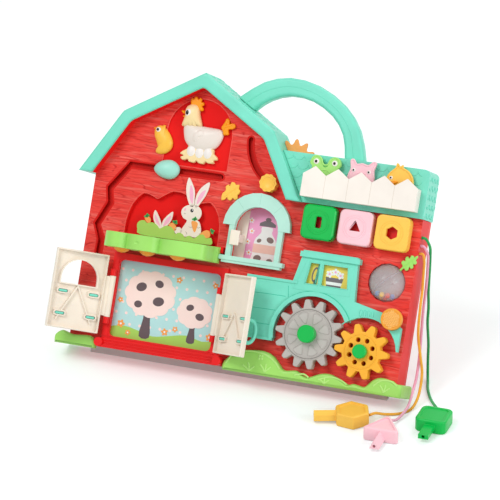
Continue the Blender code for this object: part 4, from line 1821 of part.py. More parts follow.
def main():
    clear_scene()
    collection = bpy.data.collections.new("busy_board")
    bpy.context.scene.collection.children.link(collection)
    board = axis_empty("board", (0, BOARD_Y, BOARD_Z), None, (-LEAN, 0, 0))
    front_shell(board)
    back_cover(board)
    roof_trim(board)
    annex_roof(board)
    carry_handle(board)
    grass(board)
    hen_and_chick(board)
    small_leaves(board)
    egg_slider(board)
    sun(board)
    bush_flap(board)
    rabbit_card(board)
    window(board)
    doorway(board)
    door(board, "left_door", 1, LEFT_DOOR_AXIS, LEFT_DOOR_WIDTH, LEFT_DOOR_OPEN,
         (LEFT_BARREL_LOW, LEFT_BARREL_HIGH), LEFT_CLIP_SPACING, True)
    door(board, "right_door", -1, RIGHT_DOOR_AXIS, RIGHT_DOOR_WIDTH, RIGHT_DOOR_OPEN,
         (RIGHT_BARREL_LOW, RIGHT_BARREL_HIGH), RIGHT_CLIP_SPACING, False)
    fence(board)
    popup(board, "frog", FROG_SHARES, FROG_X, FROG_SIZE, "bush")
    popup(board, "pig", PIG_SHARES, PIG_X, PIG_SIZE, "pink")
    popup(board, "pop_up_chick", POP_CHICK_SHARES, POP_CHICK_X, POP_CHICK_SIZE, "yellow")
    locks(board)
    tractor(board)
    headlight(board)
    gears(board)
    rattle(board)
    rear_stand(board)
    keys_and_cords()


main()
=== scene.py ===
"""The looks of the farm busy board: materials, rounded edges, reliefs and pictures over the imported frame."""

import json
import math
from itertools import groupby

import bmesh
import bpy
from mathutils import Matrix, Vector

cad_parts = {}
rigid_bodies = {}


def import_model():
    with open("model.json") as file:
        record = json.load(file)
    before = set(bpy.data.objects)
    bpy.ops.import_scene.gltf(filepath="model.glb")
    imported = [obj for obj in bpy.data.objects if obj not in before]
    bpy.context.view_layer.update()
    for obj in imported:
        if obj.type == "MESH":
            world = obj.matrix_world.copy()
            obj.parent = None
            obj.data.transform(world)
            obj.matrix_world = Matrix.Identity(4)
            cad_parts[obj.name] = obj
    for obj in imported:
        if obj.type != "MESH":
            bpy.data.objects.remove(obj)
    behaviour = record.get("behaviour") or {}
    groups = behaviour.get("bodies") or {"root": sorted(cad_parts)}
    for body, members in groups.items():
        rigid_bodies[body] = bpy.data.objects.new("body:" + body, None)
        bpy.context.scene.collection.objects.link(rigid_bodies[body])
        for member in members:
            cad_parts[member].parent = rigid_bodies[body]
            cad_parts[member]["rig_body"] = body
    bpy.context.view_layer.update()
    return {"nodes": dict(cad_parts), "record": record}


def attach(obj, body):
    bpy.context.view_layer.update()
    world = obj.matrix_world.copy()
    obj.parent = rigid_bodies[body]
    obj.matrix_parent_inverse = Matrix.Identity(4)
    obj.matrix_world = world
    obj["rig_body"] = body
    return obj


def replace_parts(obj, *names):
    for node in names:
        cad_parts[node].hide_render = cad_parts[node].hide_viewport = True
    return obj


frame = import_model()
NODES = frame["nodes"]
SCENE = bpy.context.scene

MM = 0.001
LEAN = math.radians(27.7)
BODY_BACK = 38
FLOOR_CLEARANCE = 0.001
ORIGIN_Y = -BODY_BACK * MM * math.cos(LEAN)
ORIGIN_Z = BODY_BACK * MM * math.sin(LEAN) + FLOOR_CLEARANCE
BOARD = Matrix.Translation((0, ORIGIN_Y, ORIGIN_Z)) @ Matrix.Rotation(-LEAN, 4, "X")
BOARD_MM = BOARD @ Matrix.Scale(MM, 4)


# camera, lights and floor

IMAGE_PIXELS = 500
FOCAL_PIXELS = 2881
SENSOR = 36
CAMERA_TARGET = Vector((0.0026, 0.0305, 0.14085))
CAMERA_AZIMUTH = math.radians(20)
CAMERA_ELEVATION = math.radians(24.45)
CAMERA_DISTANCE = 3.255
BOARD_MIDDLE = (0, 0, 0.12)


def place(name, data):
    """A new object in the scene."""
    obj = bpy.data.objects.new(name, data)
    SCENE.collection.objects.link(obj)
    return obj


def mesh_of_shape(name, shape):
    mesh = bpy.data.meshes.new(name)
    shape.to_mesh(mesh)
    shape.free()
    return mesh


def aim(obj, direction):
    obj.rotation_euler = direction.to_track_quat("-Z", "Y").to_euler()


def make_camera():
    data = bpy.data.cameras.new("camera")
    data.sensor_width = SENSOR
    data.lens = SENSOR * FOCAL_PIXELS / IMAGE_PIXELS
    data.clip_start = 0.05
    data.clip_end = 60
    camera = place("camera", data)
    level = math.cos(CAMERA_ELEVATION)
    away = Vector((math.sin(CAMERA_AZIMUTH) * level, -math.cos(CAMERA_AZIMUTH) * level,
                   math.sin(CAMERA_ELEVATION)))
    camera.location = CAMERA_TARGET + away * CAMERA_DISTANCE
    aim(camera, -away)
    SCENE.camera = camera


def area_light(name, source, target, size, power):
    data = bpy.data.lights.new(name, "AREA")
    data.shape = "DISK"
    data.size = size
    data.energy = power
    light = place(name, data)
    light.location = source
    aim(light, Vector(target) - Vector(source))


def seen_directly(tree):
    """1 for camera, glossy and transmission rays, 0 for the rays that light the object."""
    paths = tree.nodes.new("ShaderNodeLightPath")
    seen = paths.outputs["Is Camera Ray"]
    for kind in ("Is Glossy Ray", "Is Transmission Ray"):
        either = tree.nodes.new("ShaderNodeMath")
        either.operation = "MAXIMUM"
        tree.links.new(seen, either.inputs[0])
        tree.links.new(paths.outputs[kind], either.inputs[1])
        seen = either.outputs[0]
    return seen


def shown_otherwise(tree, lighting, shown, output):
    """One shader for the rays that light the object, another for those that see the background or floor."""
    mix = tree.nodes.new("ShaderNodeMixShader")
    out = tree.nodes.new(output)
    tree.links.new(seen_directly(tree), mix.inputs[0])
    tree.links.new(lighting.outputs[0], mix.inputs[1])
    tree.links.new(shown.outputs[0], mix.inputs[2])
    tree.links.new(mix.outputs[0], out.inputs["Surface"])


def plain_shader(tree, kind, colour, strength=None):
    made = tree.nodes.new(kind)
    made.inputs["Color"].default_value = (*colour, 1)
    if strength is not None:
        made.inputs["Strength"].default_value = strength
    return made


def make_world():
    world = bpy.data.worlds.new("studio")
    SCENE.world = world
    world.use_nodes = True
    tree = world.node_tree
    tree.nodes.clear()
    light = plain_shader(tree, "ShaderNodeBackground", (1, 0.985, 0.965), 0.54)
    white = plain_shader(tree, "ShaderNodeBackground", (1, 1, 1), 1)
    shown_otherwise(tree, light, white, "ShaderNodeOutputWorld")


def make_floor():
    """A pale floor that keeps the shadow, with a glow that only the camera sees."""
    shape = bmesh.new()
    bmesh.ops.create_grid(shape, x_segments=1, y_segments=1, size=12)
    floor = place("floor", mesh_of_shape("floor", shape))
    material = bpy.data.materials.new("floor")
    material.use_nodes = True
    tree = material.node_tree
    tree.nodes.clear()
    # The diffuse colour leans cyan: a painted offset against the red light the board bounces onto the floor,
    # so the shadow reads neutral grey.
    diffuse = plain_shader(tree, "ShaderNodeBsdfDiffuse", (0.76, 0.83, 0.83))
    glow = plain_shader(tree, "ShaderNodeEmission", (1, 1, 1), 0.3)
    add = tree.nodes.new("ShaderNodeAddShader")
    tree.links.new(diffuse.outputs[0], add.inputs[0])
    tree.links.new(glow.outputs[0], add.inputs[1])
    shown_otherwise(tree, diffuse, add, "ShaderNodeOutputMaterial")
    floor.data.materials.append(material)


SCENE.view_settings.view_transform = "Standard"
make_camera()
make_world()
make_floor()
area_light("key", (-1, -2, 3), BOARD_MIDDLE, 1.5, 51)
area_light("fill", (2.8, -1, 1.3), BOARD_MIDDLE, 1.6, 34)
area_light("rim", (0.6, 1.8, 2.4), (0, 0.05, 0.15), 1.6, 18)


# materials

def linear(code):
    """Scene-linear colour of a hex colour."""
    values = [int(code[index:index + 2], 16) / 255 for index in (0, 2, 4)]
    return tuple(v / 12.92 if v <= 0.04045 else ((v + 0.055) / 1.055) ** 2.4 for v in values)


def shade(colour, share):
    return tuple(min(1, v * share) for v in colour)


class Shader:
    """A material's node tree with a few short calls."""

    def __init__(self, name):
        self.material = bpy.data.materials.new(name)
        self.material.use_nodes = True
        self.tree = self.material.node_tree
        self.surface = self.tree.nodes["Principled BSDF"]
        self.coordinates = self.tree.nodes.new("ShaderNodeTexCoord").outputs["Object"]

    def node(self, kind, inputs=(), **settings):
        made = self.tree.nodes.new(kind)
        for key, value in settings.items():
            setattr(made, key, value)
        for slot, value in dict(inputs).items():
            self.give(made.inputs[slot], value)
        return made

    def give(self, socket, value):
        if isinstance(value, bpy.types.NodeSocket):
            self.tree.links.new(value, socket)
        else:
            socket.default_value = value

    def done(self, inputs):
        """Gives the surface its inputs and hands over the material."""
        for slot, value in inputs.items():
            self.give(self.surface.inputs[slot], value)
        return self.material

    def on_board(self):
        """Board coordinates in metres: X to the right, Y to the back, Z up the board."""
        shift = -(Matrix.Rotation(LEAN, 3, "X") @ BOARD.to_translation())
        inputs = {"Vector": self.coordinates, "Location": shift, "Rotation": (LEAN, 0, 0)}
        return self.node("ShaderNodeMapping", inputs).outputs[0]

    def split(self, vector):
        return self.node("ShaderNodeSeparateXYZ", {"Vector": vector}).outputs

    def noise(self, scale, detail=2, rough=0.5, distortion=0, vector=None):
        """Noise on the object's own coordinates unless told otherwise; three scales stretch it."""
        if vector is None:
            vector = self.coordinates
        if isinstance(scale, tuple):
            vector = self.node("ShaderNodeMapping", {"Vector": vector, "Scale": scale}).outputs[0]
            scale = 1
        inputs = {"Vector": vector, "Scale": scale, "Detail": detail, "Roughness": rough,
                  "Distortion": distortion}
        return self.node("ShaderNodeTexNoise", inputs).outputs["Fac"]

    def math(self, operation, first, second=0, third=0):
        return self.node("ShaderNodeMath", {0: first, 1: second, 2: third}, operation=operation).outputs[0]

    def times(self, first, second):
        return self.math("MULTIPLY", first, second)

    def spread(self, value, low, high, to_low=0, to_high=1):
        inputs = {"Value": value, "From Min": low, "From Max": high, "To Min": to_low, "To Max": to_high}
        return self.node("ShaderNodeMapRange", inputs).outputs[0]

    def stripes(self, value, count, width):
        """Lines of a width where count times the value passes a half, from 0 to 1."""
        turns = self.math("FRACT", self.times(value, count))
        return self.spread(self.math("ABSOLUTE", self.math("SUBTRACT", turns, 0.5)), 0, width, 1, 0)

    def mix(self, share, first, second):
        made = self.node("ShaderNodeMix", data_type="RGBA")
        self.give(made.inputs["Factor"], share)
        for slot, value in (("A", first), ("B", second)):
            socket = [s for s in made.inputs if s.name == slot and s.type == "RGBA"][0]
            self.give(socket, (*value, 1) if isinstance(value, tuple) else value)
        return [s for s in made.outputs if s.type == "RGBA"][0]

    def bump(self, height, strength, distance, before=None):
        inputs = {"Height": height, "Strength": strength, "Distance": distance}
        if before is not None:
            inputs["Normal"] = before
        return self.node("ShaderNodeBump", inputs).outputs["Normal"]

    def skin(self, peel):
        """The fine orange peel of moulded plastic."""
        return self.bump(self.noise(900), peel, 0.0002)


def plastic(name, code, rough=0.36, peel=0.12, vary=0.05, see_through=0, shine=0.3):
    """Moulded plastic: a slight cloudiness of tone, a fine skin and soft gloss."""
    shader = Shader(name)
    colour = linear(code)
    cloud = shader.spread(shader.noise(26, 3), 0.3, 0.7)
    return shader.done({
        "Base Color": shader.mix(cloud, shade(colour, 1 - vary), shade(colour, 1 + vary)),
        "Roughness": shader.spread(shader.noise(140), 0.3, 0.7, rough - 0.04, rough + 0.05),
        "Normal": shader.skin(peel),
        "Specular IOR Level": shine,
        "Subsurface Weight": see_through,
        "Subsurface Radius": (0.004, 0.003, 0.002),
    })


SMOOTH_RED = (linear("E6191A"), linear("EC2421"))
PLANK_HEIGHT = 0.0315


def wood_red():
    """The barn's face: moulded wood grain on the front plane, smooth and deeper red everywhere else."""
    shader = Shader("barn_red")
    board = shader.on_board()
    sides = shader.split(board)
    on_face = shader.math("LESS_THAN", shader.math("ABSOLUTE", sides[1]), 0.0006)
    rings = shader.stripes(shader.noise((9, 3, 62), 1.6, 0.45, 0.35, vector=board), 13, 0.17)
    broken = shader.spread(shader.noise((34, 3, 260), vector=board), 0.42, 0.56)
    fine = shader.spread(shader.noise((46, 3, 900), vector=board), 0.5, 0.62)
    grain = shader.math("MAXIMUM", shader.times(rings, broken), shader.times(fine, 0.42))
    seams = shader.stripes(sides[2], 1 / PLANK_HEIGHT, 0.014)
    grain = shader.math("MAXIMUM", grain, shader.times(seams, 0.5))
    cloud = shader.spread(shader.noise((9, 3, 30), 3, vector=board), 0.3, 0.7)
    streak = shader.spread(shader.noise((14, 3, 190), 3, 0.6, vector=board), 0.5, 0.72)
    pale = shader.mix(cloud, linear("E5332A"), linear("EC4339"))
    pale = shader.mix(shader.times(streak, 0.7), pale, linear("F47C70"))
    face = shader.mix(shader.times(grain, 0.9), pale, linear("BC1513"))
    depth = shader.times(shader.times(grain, on_face), -1)
    return shader.done({
        "Specular IOR Level": shader.spread(on_face, 0, 1, 0.05, 0.22),
        "Base Color": shader.mix(on_face, shader.mix(cloud, *SMOOTH_RED), face),
        "Roughness": shader.spread(on_face, 0, 1, 0.3, 0.46),
        "Normal": shader.bump(depth, 0.55, 0.0006, shader.skin(0.1)),
    })


def cover_red():
    """The back cover, smooth and red, with a pale rubber strip along its foot."""
    shader = Shader("cover_red")
    on_foot = shader.math("LESS_THAN", shader.split(shader.on_board())[2], 0.0029)
    cloud = shader.spread(shader.noise(26, 3), 0.3, 0.7)
    # The rubber's faint cyan tint is a painted offset against the red light bounced onto the strip, so it
    # reads neutral grey.
    rubber = shader.mix(cloud, linear("E2F8F7"), linear("E8FDFC"))
    return shader.done({
        "Specular IOR Level": 0.22,
        "Base Color": shader.mix(on_foot, shader.mix(cloud, *SMOOTH_RED), rubber),
        "Roughness": shader.spread(on_foot, 0, 1, 0.34, 0.7),
        "Normal": shader.skin(0.12),
    })


def clear():
    """Polished clear plastic with faint scuffs."""
    shader = Shader("clear_ball")
    return shader.done({
        "Base Color": (0.98, 0.92, 0.93, 1),
        "Alpha": 0.2,
        "Roughness": shader.spread(shader.noise(220, 4), 0.35, 0.75, 0.06, 0.2),
        "Normal": shader.bump(shader.noise(80), 0.06, 0.0004),
    })


def braid(name, code):
    """A round cord of fine plaited yarn; its tone is painted darker in the dips between strands and lighter on
    their crests, as shade and highlight.
    """
    shader = Shader(name)
    colour = linear(code)
    x, y, z = shader.split(shader.coordinates)
    across = shader.math("ADD", x, shader.times(z, 0.6))
    along = shader.math("SUBTRACT", z, shader.times(y, 0.8))
    crossings = [shader.math(kind, across, along) for kind in ("ADD", "SUBTRACT")]
    strands = [shader.math("SINE", shader.times(crossing, 5200)) for crossing in crossings]
    yarn = shader.spread(shader.times(*strands), -1, 1)
    fuzz = shader.noise(1800, 3)
    return shader.done({
        "Base Color": shader.mix(yarn, shade(colour, 0.86), shade(colour, 1.12)),
        "Roughness": 0.85,
        "Sheen Weight": 0.3,
        "Normal": shader.bump(shader.math("ADD", yarn, shader.times(fuzz, 0.5)), 0.7, 0.0004),
    })


def print_card(name, code, rough=0.5):
    """Printed card under a satin coat, with the faint dots of the print."""
    shader = Shader(name)
    colour = linear(code)
    fibre = shader.noise(1300, 3)
    dots = shader.math("MULTIPLY_ADD", fibre, 0.4, shader.times(shader.noise(40), 0.6))
    return shader.done({
        "Base Color": shader.mix(shader.spread(dots, 0.3, 0.7), shade(colour, 0.96), shade(colour, 1.03)),
        "Roughness": rough,
        "Normal": shader.bump(fibre, 0.08, 0.0001),
    })


def brushed(name):
    shader = Shader(name)
    streak = shader.noise((30, 900, 60))
    return shader.done({
        "Base Color": (0.62, 0.62, 0.64, 1),
        "Metallic": 1,
        "Roughness": shader.spread(streak, 0.3, 0.7, 0.25, 0.42),
        "Normal": shader.bump(streak, 0.1, 0.0001),
    })


# Painted light among these: the lighter amber paints highlights on the headlight's cells, the paler red paints
# highlights along the edges of the arch and the bush recess, and the darker groove tones paint shade in
# grooves and seams.
PLASTICS_BY_ROUGHNESS = {
    0.25: {"lamp_highlight": "FFD88A", "black": "26201F", "bead_red": "E23B2E", "bead_yellow": "F5C33B",
           "bead_blue": "5F86C9", "clear_line": "C4BCC4"},
    0.3: {"lamp": "F0A033", "white": "F1EAE6"},
    0.32: {"green": "00B84C", "chick": "FAC249"},
    0.34: {"grass_light": "B6E882", "orange": "F79B00", "egg": "A3E3D3"},
    0.36: {"mint": "79DCC4", "grass": "A0DB68", "leaf": "9FDE6A", "frog": "A4E078", "yellow": "FCC552",
           "gear_yellow": "F7B234", "pink": "FBC8D2"},
    0.38: {"sun": "FBA356", "straw": "F3D9A2"},
    0.4: {"carrot": "F5A02E", "dark_leaf": "1E9A45", "highlight_red": "F05F54"},
    0.42: {"pale_mint": "B5E2D3", "fence": "F3EAE1", "grey": "B7B1AC", "grey_light": "BDB8B3"},
    0.5: {"groove_shade_mint": "37BDA0", "groove_shade_cream": "D9CDBF", "groove_shade_pale": "93CBB9"},
    0.6: {"groove_shade_grey": "827D79"},
}
YARNS = {"cord_green": "12A853", "cord_pink": "FFB0CB", "cord_yellow": "FFB232"}
INKS = {
    "card_sky": "B2DEDF", "card_cloud": "FADFD9", "card_brown": "57454A", "card_orange": "F6A04A",
    "card_green": "A2CF55", "card_leaf": "2FA04A", "card_fur": "EFE3D6", "card_pink": "F4A6CF",
    "card_ear": "F5B0CB", "card_peach": "F4C4B6", "card_white": "F1F1EF", "card_taupe": "7F6A64",
    "card_grey": "6A6266", "card_yellow": "EFD255",
}
LOOK = {
    "red": wood_red(),
    "cover": cover_red(),
    "smooth_red": plastic("smooth_red", "E8191A", shine=0.25),
    # A darker red that paints the shade in the slots' channels and on their lips.
    "slot_shade_red": plastic("slot_shade_red", "CE140C", 0.5, shine=0.15),
    "cream": plastic("cream", "F1E5D6", see_through=0.05),
    "pearl": plastic("pearl", "EADFD6", 0.34, peel=0.03, vary=0.015),
    "steel": brushed("steel"),
    "clear": clear(),
    "card_black": print_card("card_black", "221D1F", 0.3),
}
for roughness, colours in PLASTICS_BY_ROUGHNESS.items():
    LOOK |= {name: plastic(name, code, roughness) for name, code in colours.items()}
LOOK |= {name: braid(name + "_yarn", code) for name, code in YARNS.items()}
LOOK |= {name: print_card(name, code) for name, code in INKS.items()}

# The looks on each slot, its usual one first.
LOOKS_OF_SLOT = {
    "mint_plastic": ["mint", "groove_shade_mint"],
    "pale_mint_plastic": ["pale_mint", "groove_shade_pale"],
    "red_plastic": ["smooth_red", "slot_shade_red", "highlight_red"],
    "grass_plastic": ["grass", "grass_light"],
    "leaf_plastic": ["leaf", "frog", "dark_leaf"],
    "orange_plastic": ["orange", "lamp", "lamp_highlight"],
    "sun_plastic": ["sun"],
    "yellow_plastic": ["yellow", "chick", "gear_yellow"],
    "cream_plastic": ["cream", "pearl", "white", "groove_shade_cream"],
    "straw_plastic": ["straw"],
    "green_plastic": ["green"],
    "pink_plastic": ["pink"],
    "grey_plastic": ["grey", "grey_light", "groove_shade_grey", "black", "card_taupe"],
    "egg_plastic": ["egg"],
    "clear_plastic": ["clear", "clear_line"],
    "bead_plastic": ["bead_red", "bead_yellow", "bead_blue"],
    "picture_card": ["card_sky"],
    "pink_card": ["card_pink"],
    "green_card": ["card_green"],
    "yellow_card": ["card_yellow"],
    "pin_steel": ["steel"],
}


# shapes, in board millimetres: x to the right, y to the back, z up the board

def link(name, mesh, look, body, matrix=None):
    """Adds a mesh with smooth shading and one material, riding with a body."""
    if matrix is not None:
        mesh.transform(matrix)
    mesh.materials.clear()
    mesh.materials.append(LOOK[look])
    for face in mesh.polygons:
        face.use_smooth = True
        face.material_index = 0
    obj = place(name, mesh)
    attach(obj, body)
    return obj


def smooth(points, closed=True, steps=4):
    """A Catmull-Rom line through the points."""
    count = len(points)
    line = []
    for index in range(count if closed else count - 1):
        near = [index + offset for offset in (-1, 0, 1, 2)]
        around = [points[i % count if closed else min(max(i, 0), count - 1)] for i in near]
        for step in range(steps):
            t = step / steps
            line.append(tuple(
                0.5 * (2 * b + (c - a) * t + (2 * a - 5 * b + 4 * c - d) * t * t
                       + (3 * b - 3 * c + d - a) * t ** 3)
                for a, b, c, d in zip(*around)
            ))
    return line if closed else line + [tuple(points[-1])]


def shares_to(shares, x, z, width, height):
    return [(x + a * width, z + b * height) for a, b in shares]


def polar(x, z, radius, degrees):
    angle = math.radians(degrees)
    return (x + radius * math.cos(angle), z + radius * math.sin(angle))


def bow(x, z, radius, start, end, steps=12):
    return [polar(x, z, radius, start + (end - start) * index / steps) for index in range(steps + 1)]


def ellipse(x, z, rx, rz, turn=0, steps=20):
    cosine, sine = polar(0, 0, 1, turn)
    unit = [polar(0, 0, 1, 360 * index / steps) for index in range(steps)]
    return [(x + a * rx * cosine - b * rz * sine, z + a * rx * sine + b * rz * cosine) for a, b in unit]


def ring(x, z, radius, steps):
    return ellipse(x, z, radius, radius, 0, steps)


def rounded_box(left, right, low, high, corner, steps=4):
    line = []
    for x, z, start in ((right - corner, high - corner, 0), (left + corner, high - corner, 90),
                        (left + corner, low + corner, 180), (right - corner, low + corner, 270)):
        line += bow(x, z, corner, start, start + 90, steps)
    return line


def on_plane(points, y):
    return [(x, y, z) for x, z in points]


FACE = BOARD_MM @ Matrix(((1, 0, 0, 0), (0, 0, -1, 0), (0, 1, 0, 0), (0, 0, 0, 1)))


def evaluated(obj):
    """The mesh of an object after its modifiers or its curve's bevel."""
    bpy.context.view_layer.update()
    return bpy.data.meshes.new_from_object(obj.evaluated_get(bpy.context.evaluated_depsgraph_get()))


def mesh_of_curve(curve):
    guide = place("guide", curve)
    mesh = evaluated(guide)
    bpy.data.objects.remove(guide)
    bpy.data.curves.remove(curve)
    return mesh


def add_line(curve, points, closed):
    spline = curve.splines.new("POLY")
    spline.points.add(len(points) - 1)
    for point, spot in zip(spline.points, points):
        point.co = (*spot, 1)
    spline.use_cyclic_u = closed


def strokes(name, lines, radius, closed, steps):
    """A curve of round strokes along lines of points."""
    curve = bpy.data.curves.new(name, "CURVE")
    curve.dimensions = "3D"
    curve.bevel_depth = radius
    curve.bevel_resolution = steps
    curve.use_fill_caps = True
    for line in lines:
        add_line(curve, line, closed)
    return curve


def relief(name, loops, front, back, look, body="board", edge=0.5, steps=3):
    """A flat piece with rounded edges between two depths: the first loop is its outline, the rest holes."""
    curve = bpy.data.curves.new(name, "CURVE")
    curve.dimensions = "2D"
    curve.fill_mode = "BOTH"
    edge = min(edge, 0.49 * (back - front))
    curve.bevel_depth = edge
    curve.bevel_resolution = steps
    curve.offset = -edge
    curve.extrude = (back - front) / 2 - edge
    for loop in loops:
        add_line(curve, [(x, z, 0) for x, z in loop], True)
    mesh = mesh_of_curve(curve)
    return link(name, mesh, look, body, FACE @ Matrix.Translation((0, 0, -(front + back) / 2)))


def tube(name, lines, radius, look, body="board", closed=False, steps=3, flat=None):
    """Round strokes along lines of (x, y, z) points; flat=(y, share) squashes them towards a depth."""
    mesh = mesh_of_curve(strokes(name, lines, radius, closed, steps))
    if flat is not None:
        depth, share = flat
        for vertex in mesh.vertices:
            vertex.co.y = depth + (vertex.co.y - depth) * share
    return link(name, mesh, look, body, BOARD_MM)


def line_relief(name, line, y, radius, look, body="board", closed=False, share=0.5):
    """A raised or sunk line of (x, z) points on the plane at depth y."""
    return tube(name, [on_plane(line, y)], radius, look, body, closed, flat=(y, share))


def dome(name, places, look, body="board", sides=24, rings=14):
    """Squashed balls at (x, y, z, rx, ry, rz)."""
    shape = bmesh.new()
    for x, y, z, rx, ry, rz in places:
        matrix = Matrix.Translation((x, y, z)) @ Matrix.Diagonal((rx, ry, rz, 1))
        bmesh.ops.create_uvsphere(shape, u_segments=sides, v_segments=rings, radius=1, matrix=matrix)
    return link(name, mesh_of_shape(name, shape), look, body, BOARD_MM)


def pillow(name, loop, base, height, look, body="board", rings=6, centre=None, power=2.2, slot=None):
    """A cushion over a star-shaped outline, from depth base forward by height."""
    cx, cz = centre or [sum(values) / len(loop) for values in zip(*loop)]
    shape = bmesh.new()
    rows = []
    for step in range(rings):
        share = math.cos(step / rings * math.pi / 2)
        y = base - height * (1 - share ** power) ** (1 / power)
        rows.append([shape.verts.new((cx + (x - cx) * share, y, cz + (z - cz) * share)) for x, z in loop])
    top = shape.verts.new((cx, base - height, cz))
    sides = [(index, (index + 1) % len(loop)) for index in range(len(loop))]
    for low, high in zip(rows, rows[1:]):
        for index, after in sides:
            shape.faces.new((low[index], low[after], high[after], high[index]))
    for index, after in sides:
        shape.faces.new((rows[-1][index], rows[-1][after], top))
    shape.faces.new(rows[0])
    bmesh.ops.recalc_face_normals(shape, faces=shape.faces)
    return link(name, mesh_of_shape(name, shape), look, body, BOARD_MM)


# every CAD node, with rounded edges and its own finish

SLOT_OF = {entry["node"]: entry["material_slot"] for entry in frame["record"]["subparts"]}
BODY_OF = {name: node["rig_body"] for name, node in NODES.items()}
LOOK_OF_NODE = {"front_shell": "red", "back_cover": "cover", "frog": "frog", "fence": "fence",
                "headlight": "lamp", "flap_carrots": "carrot"}
EDGES_BY_WIDTH = {
    0.1: ["door_picture", "window_picture"],
    0.5: ["front_shell"],
    0.8: ["tractor_body", "fence", "left_door", "right_door", "bush_flap"],
    0.9: ["hen_tail", "flap_carrots"],
    1: ["frog", "pig", "pop_up_chick", "sun_knob"],
    1.2: ["roof_trim", "door_frame", "key_green", "key_pink", "key_yellow", "headlight"],
    1.4: ["window_frame"],
    1.5: ["hub_yellow"],
    1.6: ["carry_handle"],
    1.8: ["annex_roof", "hub_grey"],
    3.4: ["lock_block_green", "lock_block_pink", "lock_block_yellow"],
}
EDGE = {name: width for width, names in EDGES_BY_WIDTH.items() for name in names}
USUAL_EDGE = 0.45
KEPT_AS_BUILT = ["rattle_beads", "left_hinge_pin", "right_hinge_pin", "flap_pin"]
SHAPED_BELOW = ["cord_green", "cord_pink", "cord_yellow", "hen_body", "hen_head", "chick_figure",
                "egg_slider", "rabbit_card", "gear_grey", "gear_yellow", "cab_picture",
                "left_door_handle", "right_door_handle"]


def rounded(name):
    """The node's own shape with its triangles merged and its edges rounded."""
    shape = bmesh.new()
    shape.from_mesh(NODES[name].data)
    bmesh.ops.remove_doubles(shape, verts=shape.verts, dist=2e-6)
    bmesh.ops.dissolve_degenerate(shape, edges=shape.edges, dist=1e-6)
    bmesh.ops.dissolve_limit(shape, angle_limit=math.radians(0.6), verts=shape.verts, edges=shape.edges)
    mesh = mesh_of_shape(name + "_look", shape)
    look = LOOK_OF_NODE.get(name, LOOKS_OF_SLOT[SLOT_OF[name]][0])
    obj = link(name + "_look", mesh, look, BODY_OF[name])
    bevel = obj.modifiers.new("edges", "BEVEL")
    bevel.width = EDGE.get(name, USUAL_EDGE) * MM
    bevel.segments = 3
    bevel.limit_method = "ANGLE"
    bevel.angle_limit = math.radians(28)
    bevel.use_clamp_overlap = True
    bevel.harden_normals = True
    bevel.miter_outer = "MITER_ARC"
    even = obj.modifiers.new("even", "WEIGHTED_NORMAL")
    even.weight = 60
    even.mode = "FACE_AREA"
    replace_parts(obj, name)
    return obj


ROUNDED = {name: rounded(name) for name in NODES if name not in KEPT_AS_BUILT + SHAPED_BELOW}
for name in KEPT_AS_BUILT:
    materials = NODES[name].data.materials
    materials.clear()
    materials.append(LOOK[LOOKS_OF_SLOT[SLOT_OF[name]][0]])


# cords and the keys on them

GREEN_CORD_ROUTE = [
    (0.1935, 0.0563, 0.1748), (0.197, 0.0563, 0.1748), (0.2015, 0.0567, 0.1735), (0.2058, 0.058, 0.164),
    (0.2062, 0.0585, 0.153), (0.206, 0.0585, 0.138), (0.206, 0.056, 0.112), (0.206, 0.058, 0.09),
    (0.206, 0.056, 0.072), (0.2062, 0.061, 0.044), (0.2062, 0.061, 0.025), (0.207, 0.059, 0.0085),
    (0.2105, 0.048, 0.002), (0.216, 0.03, 0.0018), (0.226, 0.008, 0.0018), (0.239, -0.013, 0.0035),
    (0.245, -0.024, 0.0068), (0.247, -0.0316, 0.008),
]
PINK_CORD_ROUTE = [
    (0.1935, 0.052, 0.1668), (0.197, 0.052, 0.1668), (0.201, 0.0523, 0.1655), (0.2048, 0.0528, 0.158),
    (0.2055, 0.0525, 0.1476), (0.206, 0.047, 0.122), (0.207, 0.034, 0.097), (0.208, 0.026, 0.075),
    (0.209, 0.017, 0.049), (0.21, 0.0042, 0.0293), (0.21, -0.0083, 0.018), (0.2103, -0.025, 0.0085),
    (0.209, -0.041, 0.005), (0.2055, -0.055, 0.0035), (0.2034, -0.065, 0.0072), (0.2031, -0.0708, 0.008),
]
YELLOW_CORD_ROUTE = [
    (0.1935, 0.0478, 0.1589), (0.197, 0.0478, 0.1589), (0.201, 0.0478, 0.1584), (0.2028, 0.047, 0.15),
    (0.2028, 0.045, 0.137), (0.204, 0.038, 0.1179), (0.2055, 0.027, 0.105), (0.2065, 0.018, 0.075),
    (0.212, 0.011, 0.05), (0.215, 0.008, 0.033), (0.216, -0.001, 0.018), (0.2155, -0.012, 0.008),
    (0.212, -0.024, 0.0018), (0.203, -0.037, 0.0017), (0.19, -0.046, 0.003), (0.1815, -0.0555, 0.0075),
    (0.1768, -0.063, 0.008),
]
CORD_RADIUS = 0.0016


def cord(name, route):
    line = smooth(route, False, 8)
    curve = strokes(name + "_look", [line], CORD_RADIUS, False, 4)
    curve.materials.append(LOOK[name])
    obj = place(name + "_look", curve)
    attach(obj, "board")
    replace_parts(obj, name)


cord("cord_green", GREEN_CORD_ROUTE)
cord("cord_pink", PINK_CORD_ROUTE)
cord("cord_yellow", YELLOW_CORD_ROUTE)


# hen, nest, chick and egg

FIGURE_BACK = -0.3


def swell(node, loop, height, look, base=FIGURE_BACK, **more):
    """A cushion in place of a flat CAD figure."""
    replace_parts(pillow(node + "_cushion", loop, base, height, look, BODY_OF[node], **more), node)


def beak(name, loop, height, base=-0.6, body="board", slot=None):
    pillow(name, smooth(loop, steps=3), base, height, "orange", body, slot=slot)


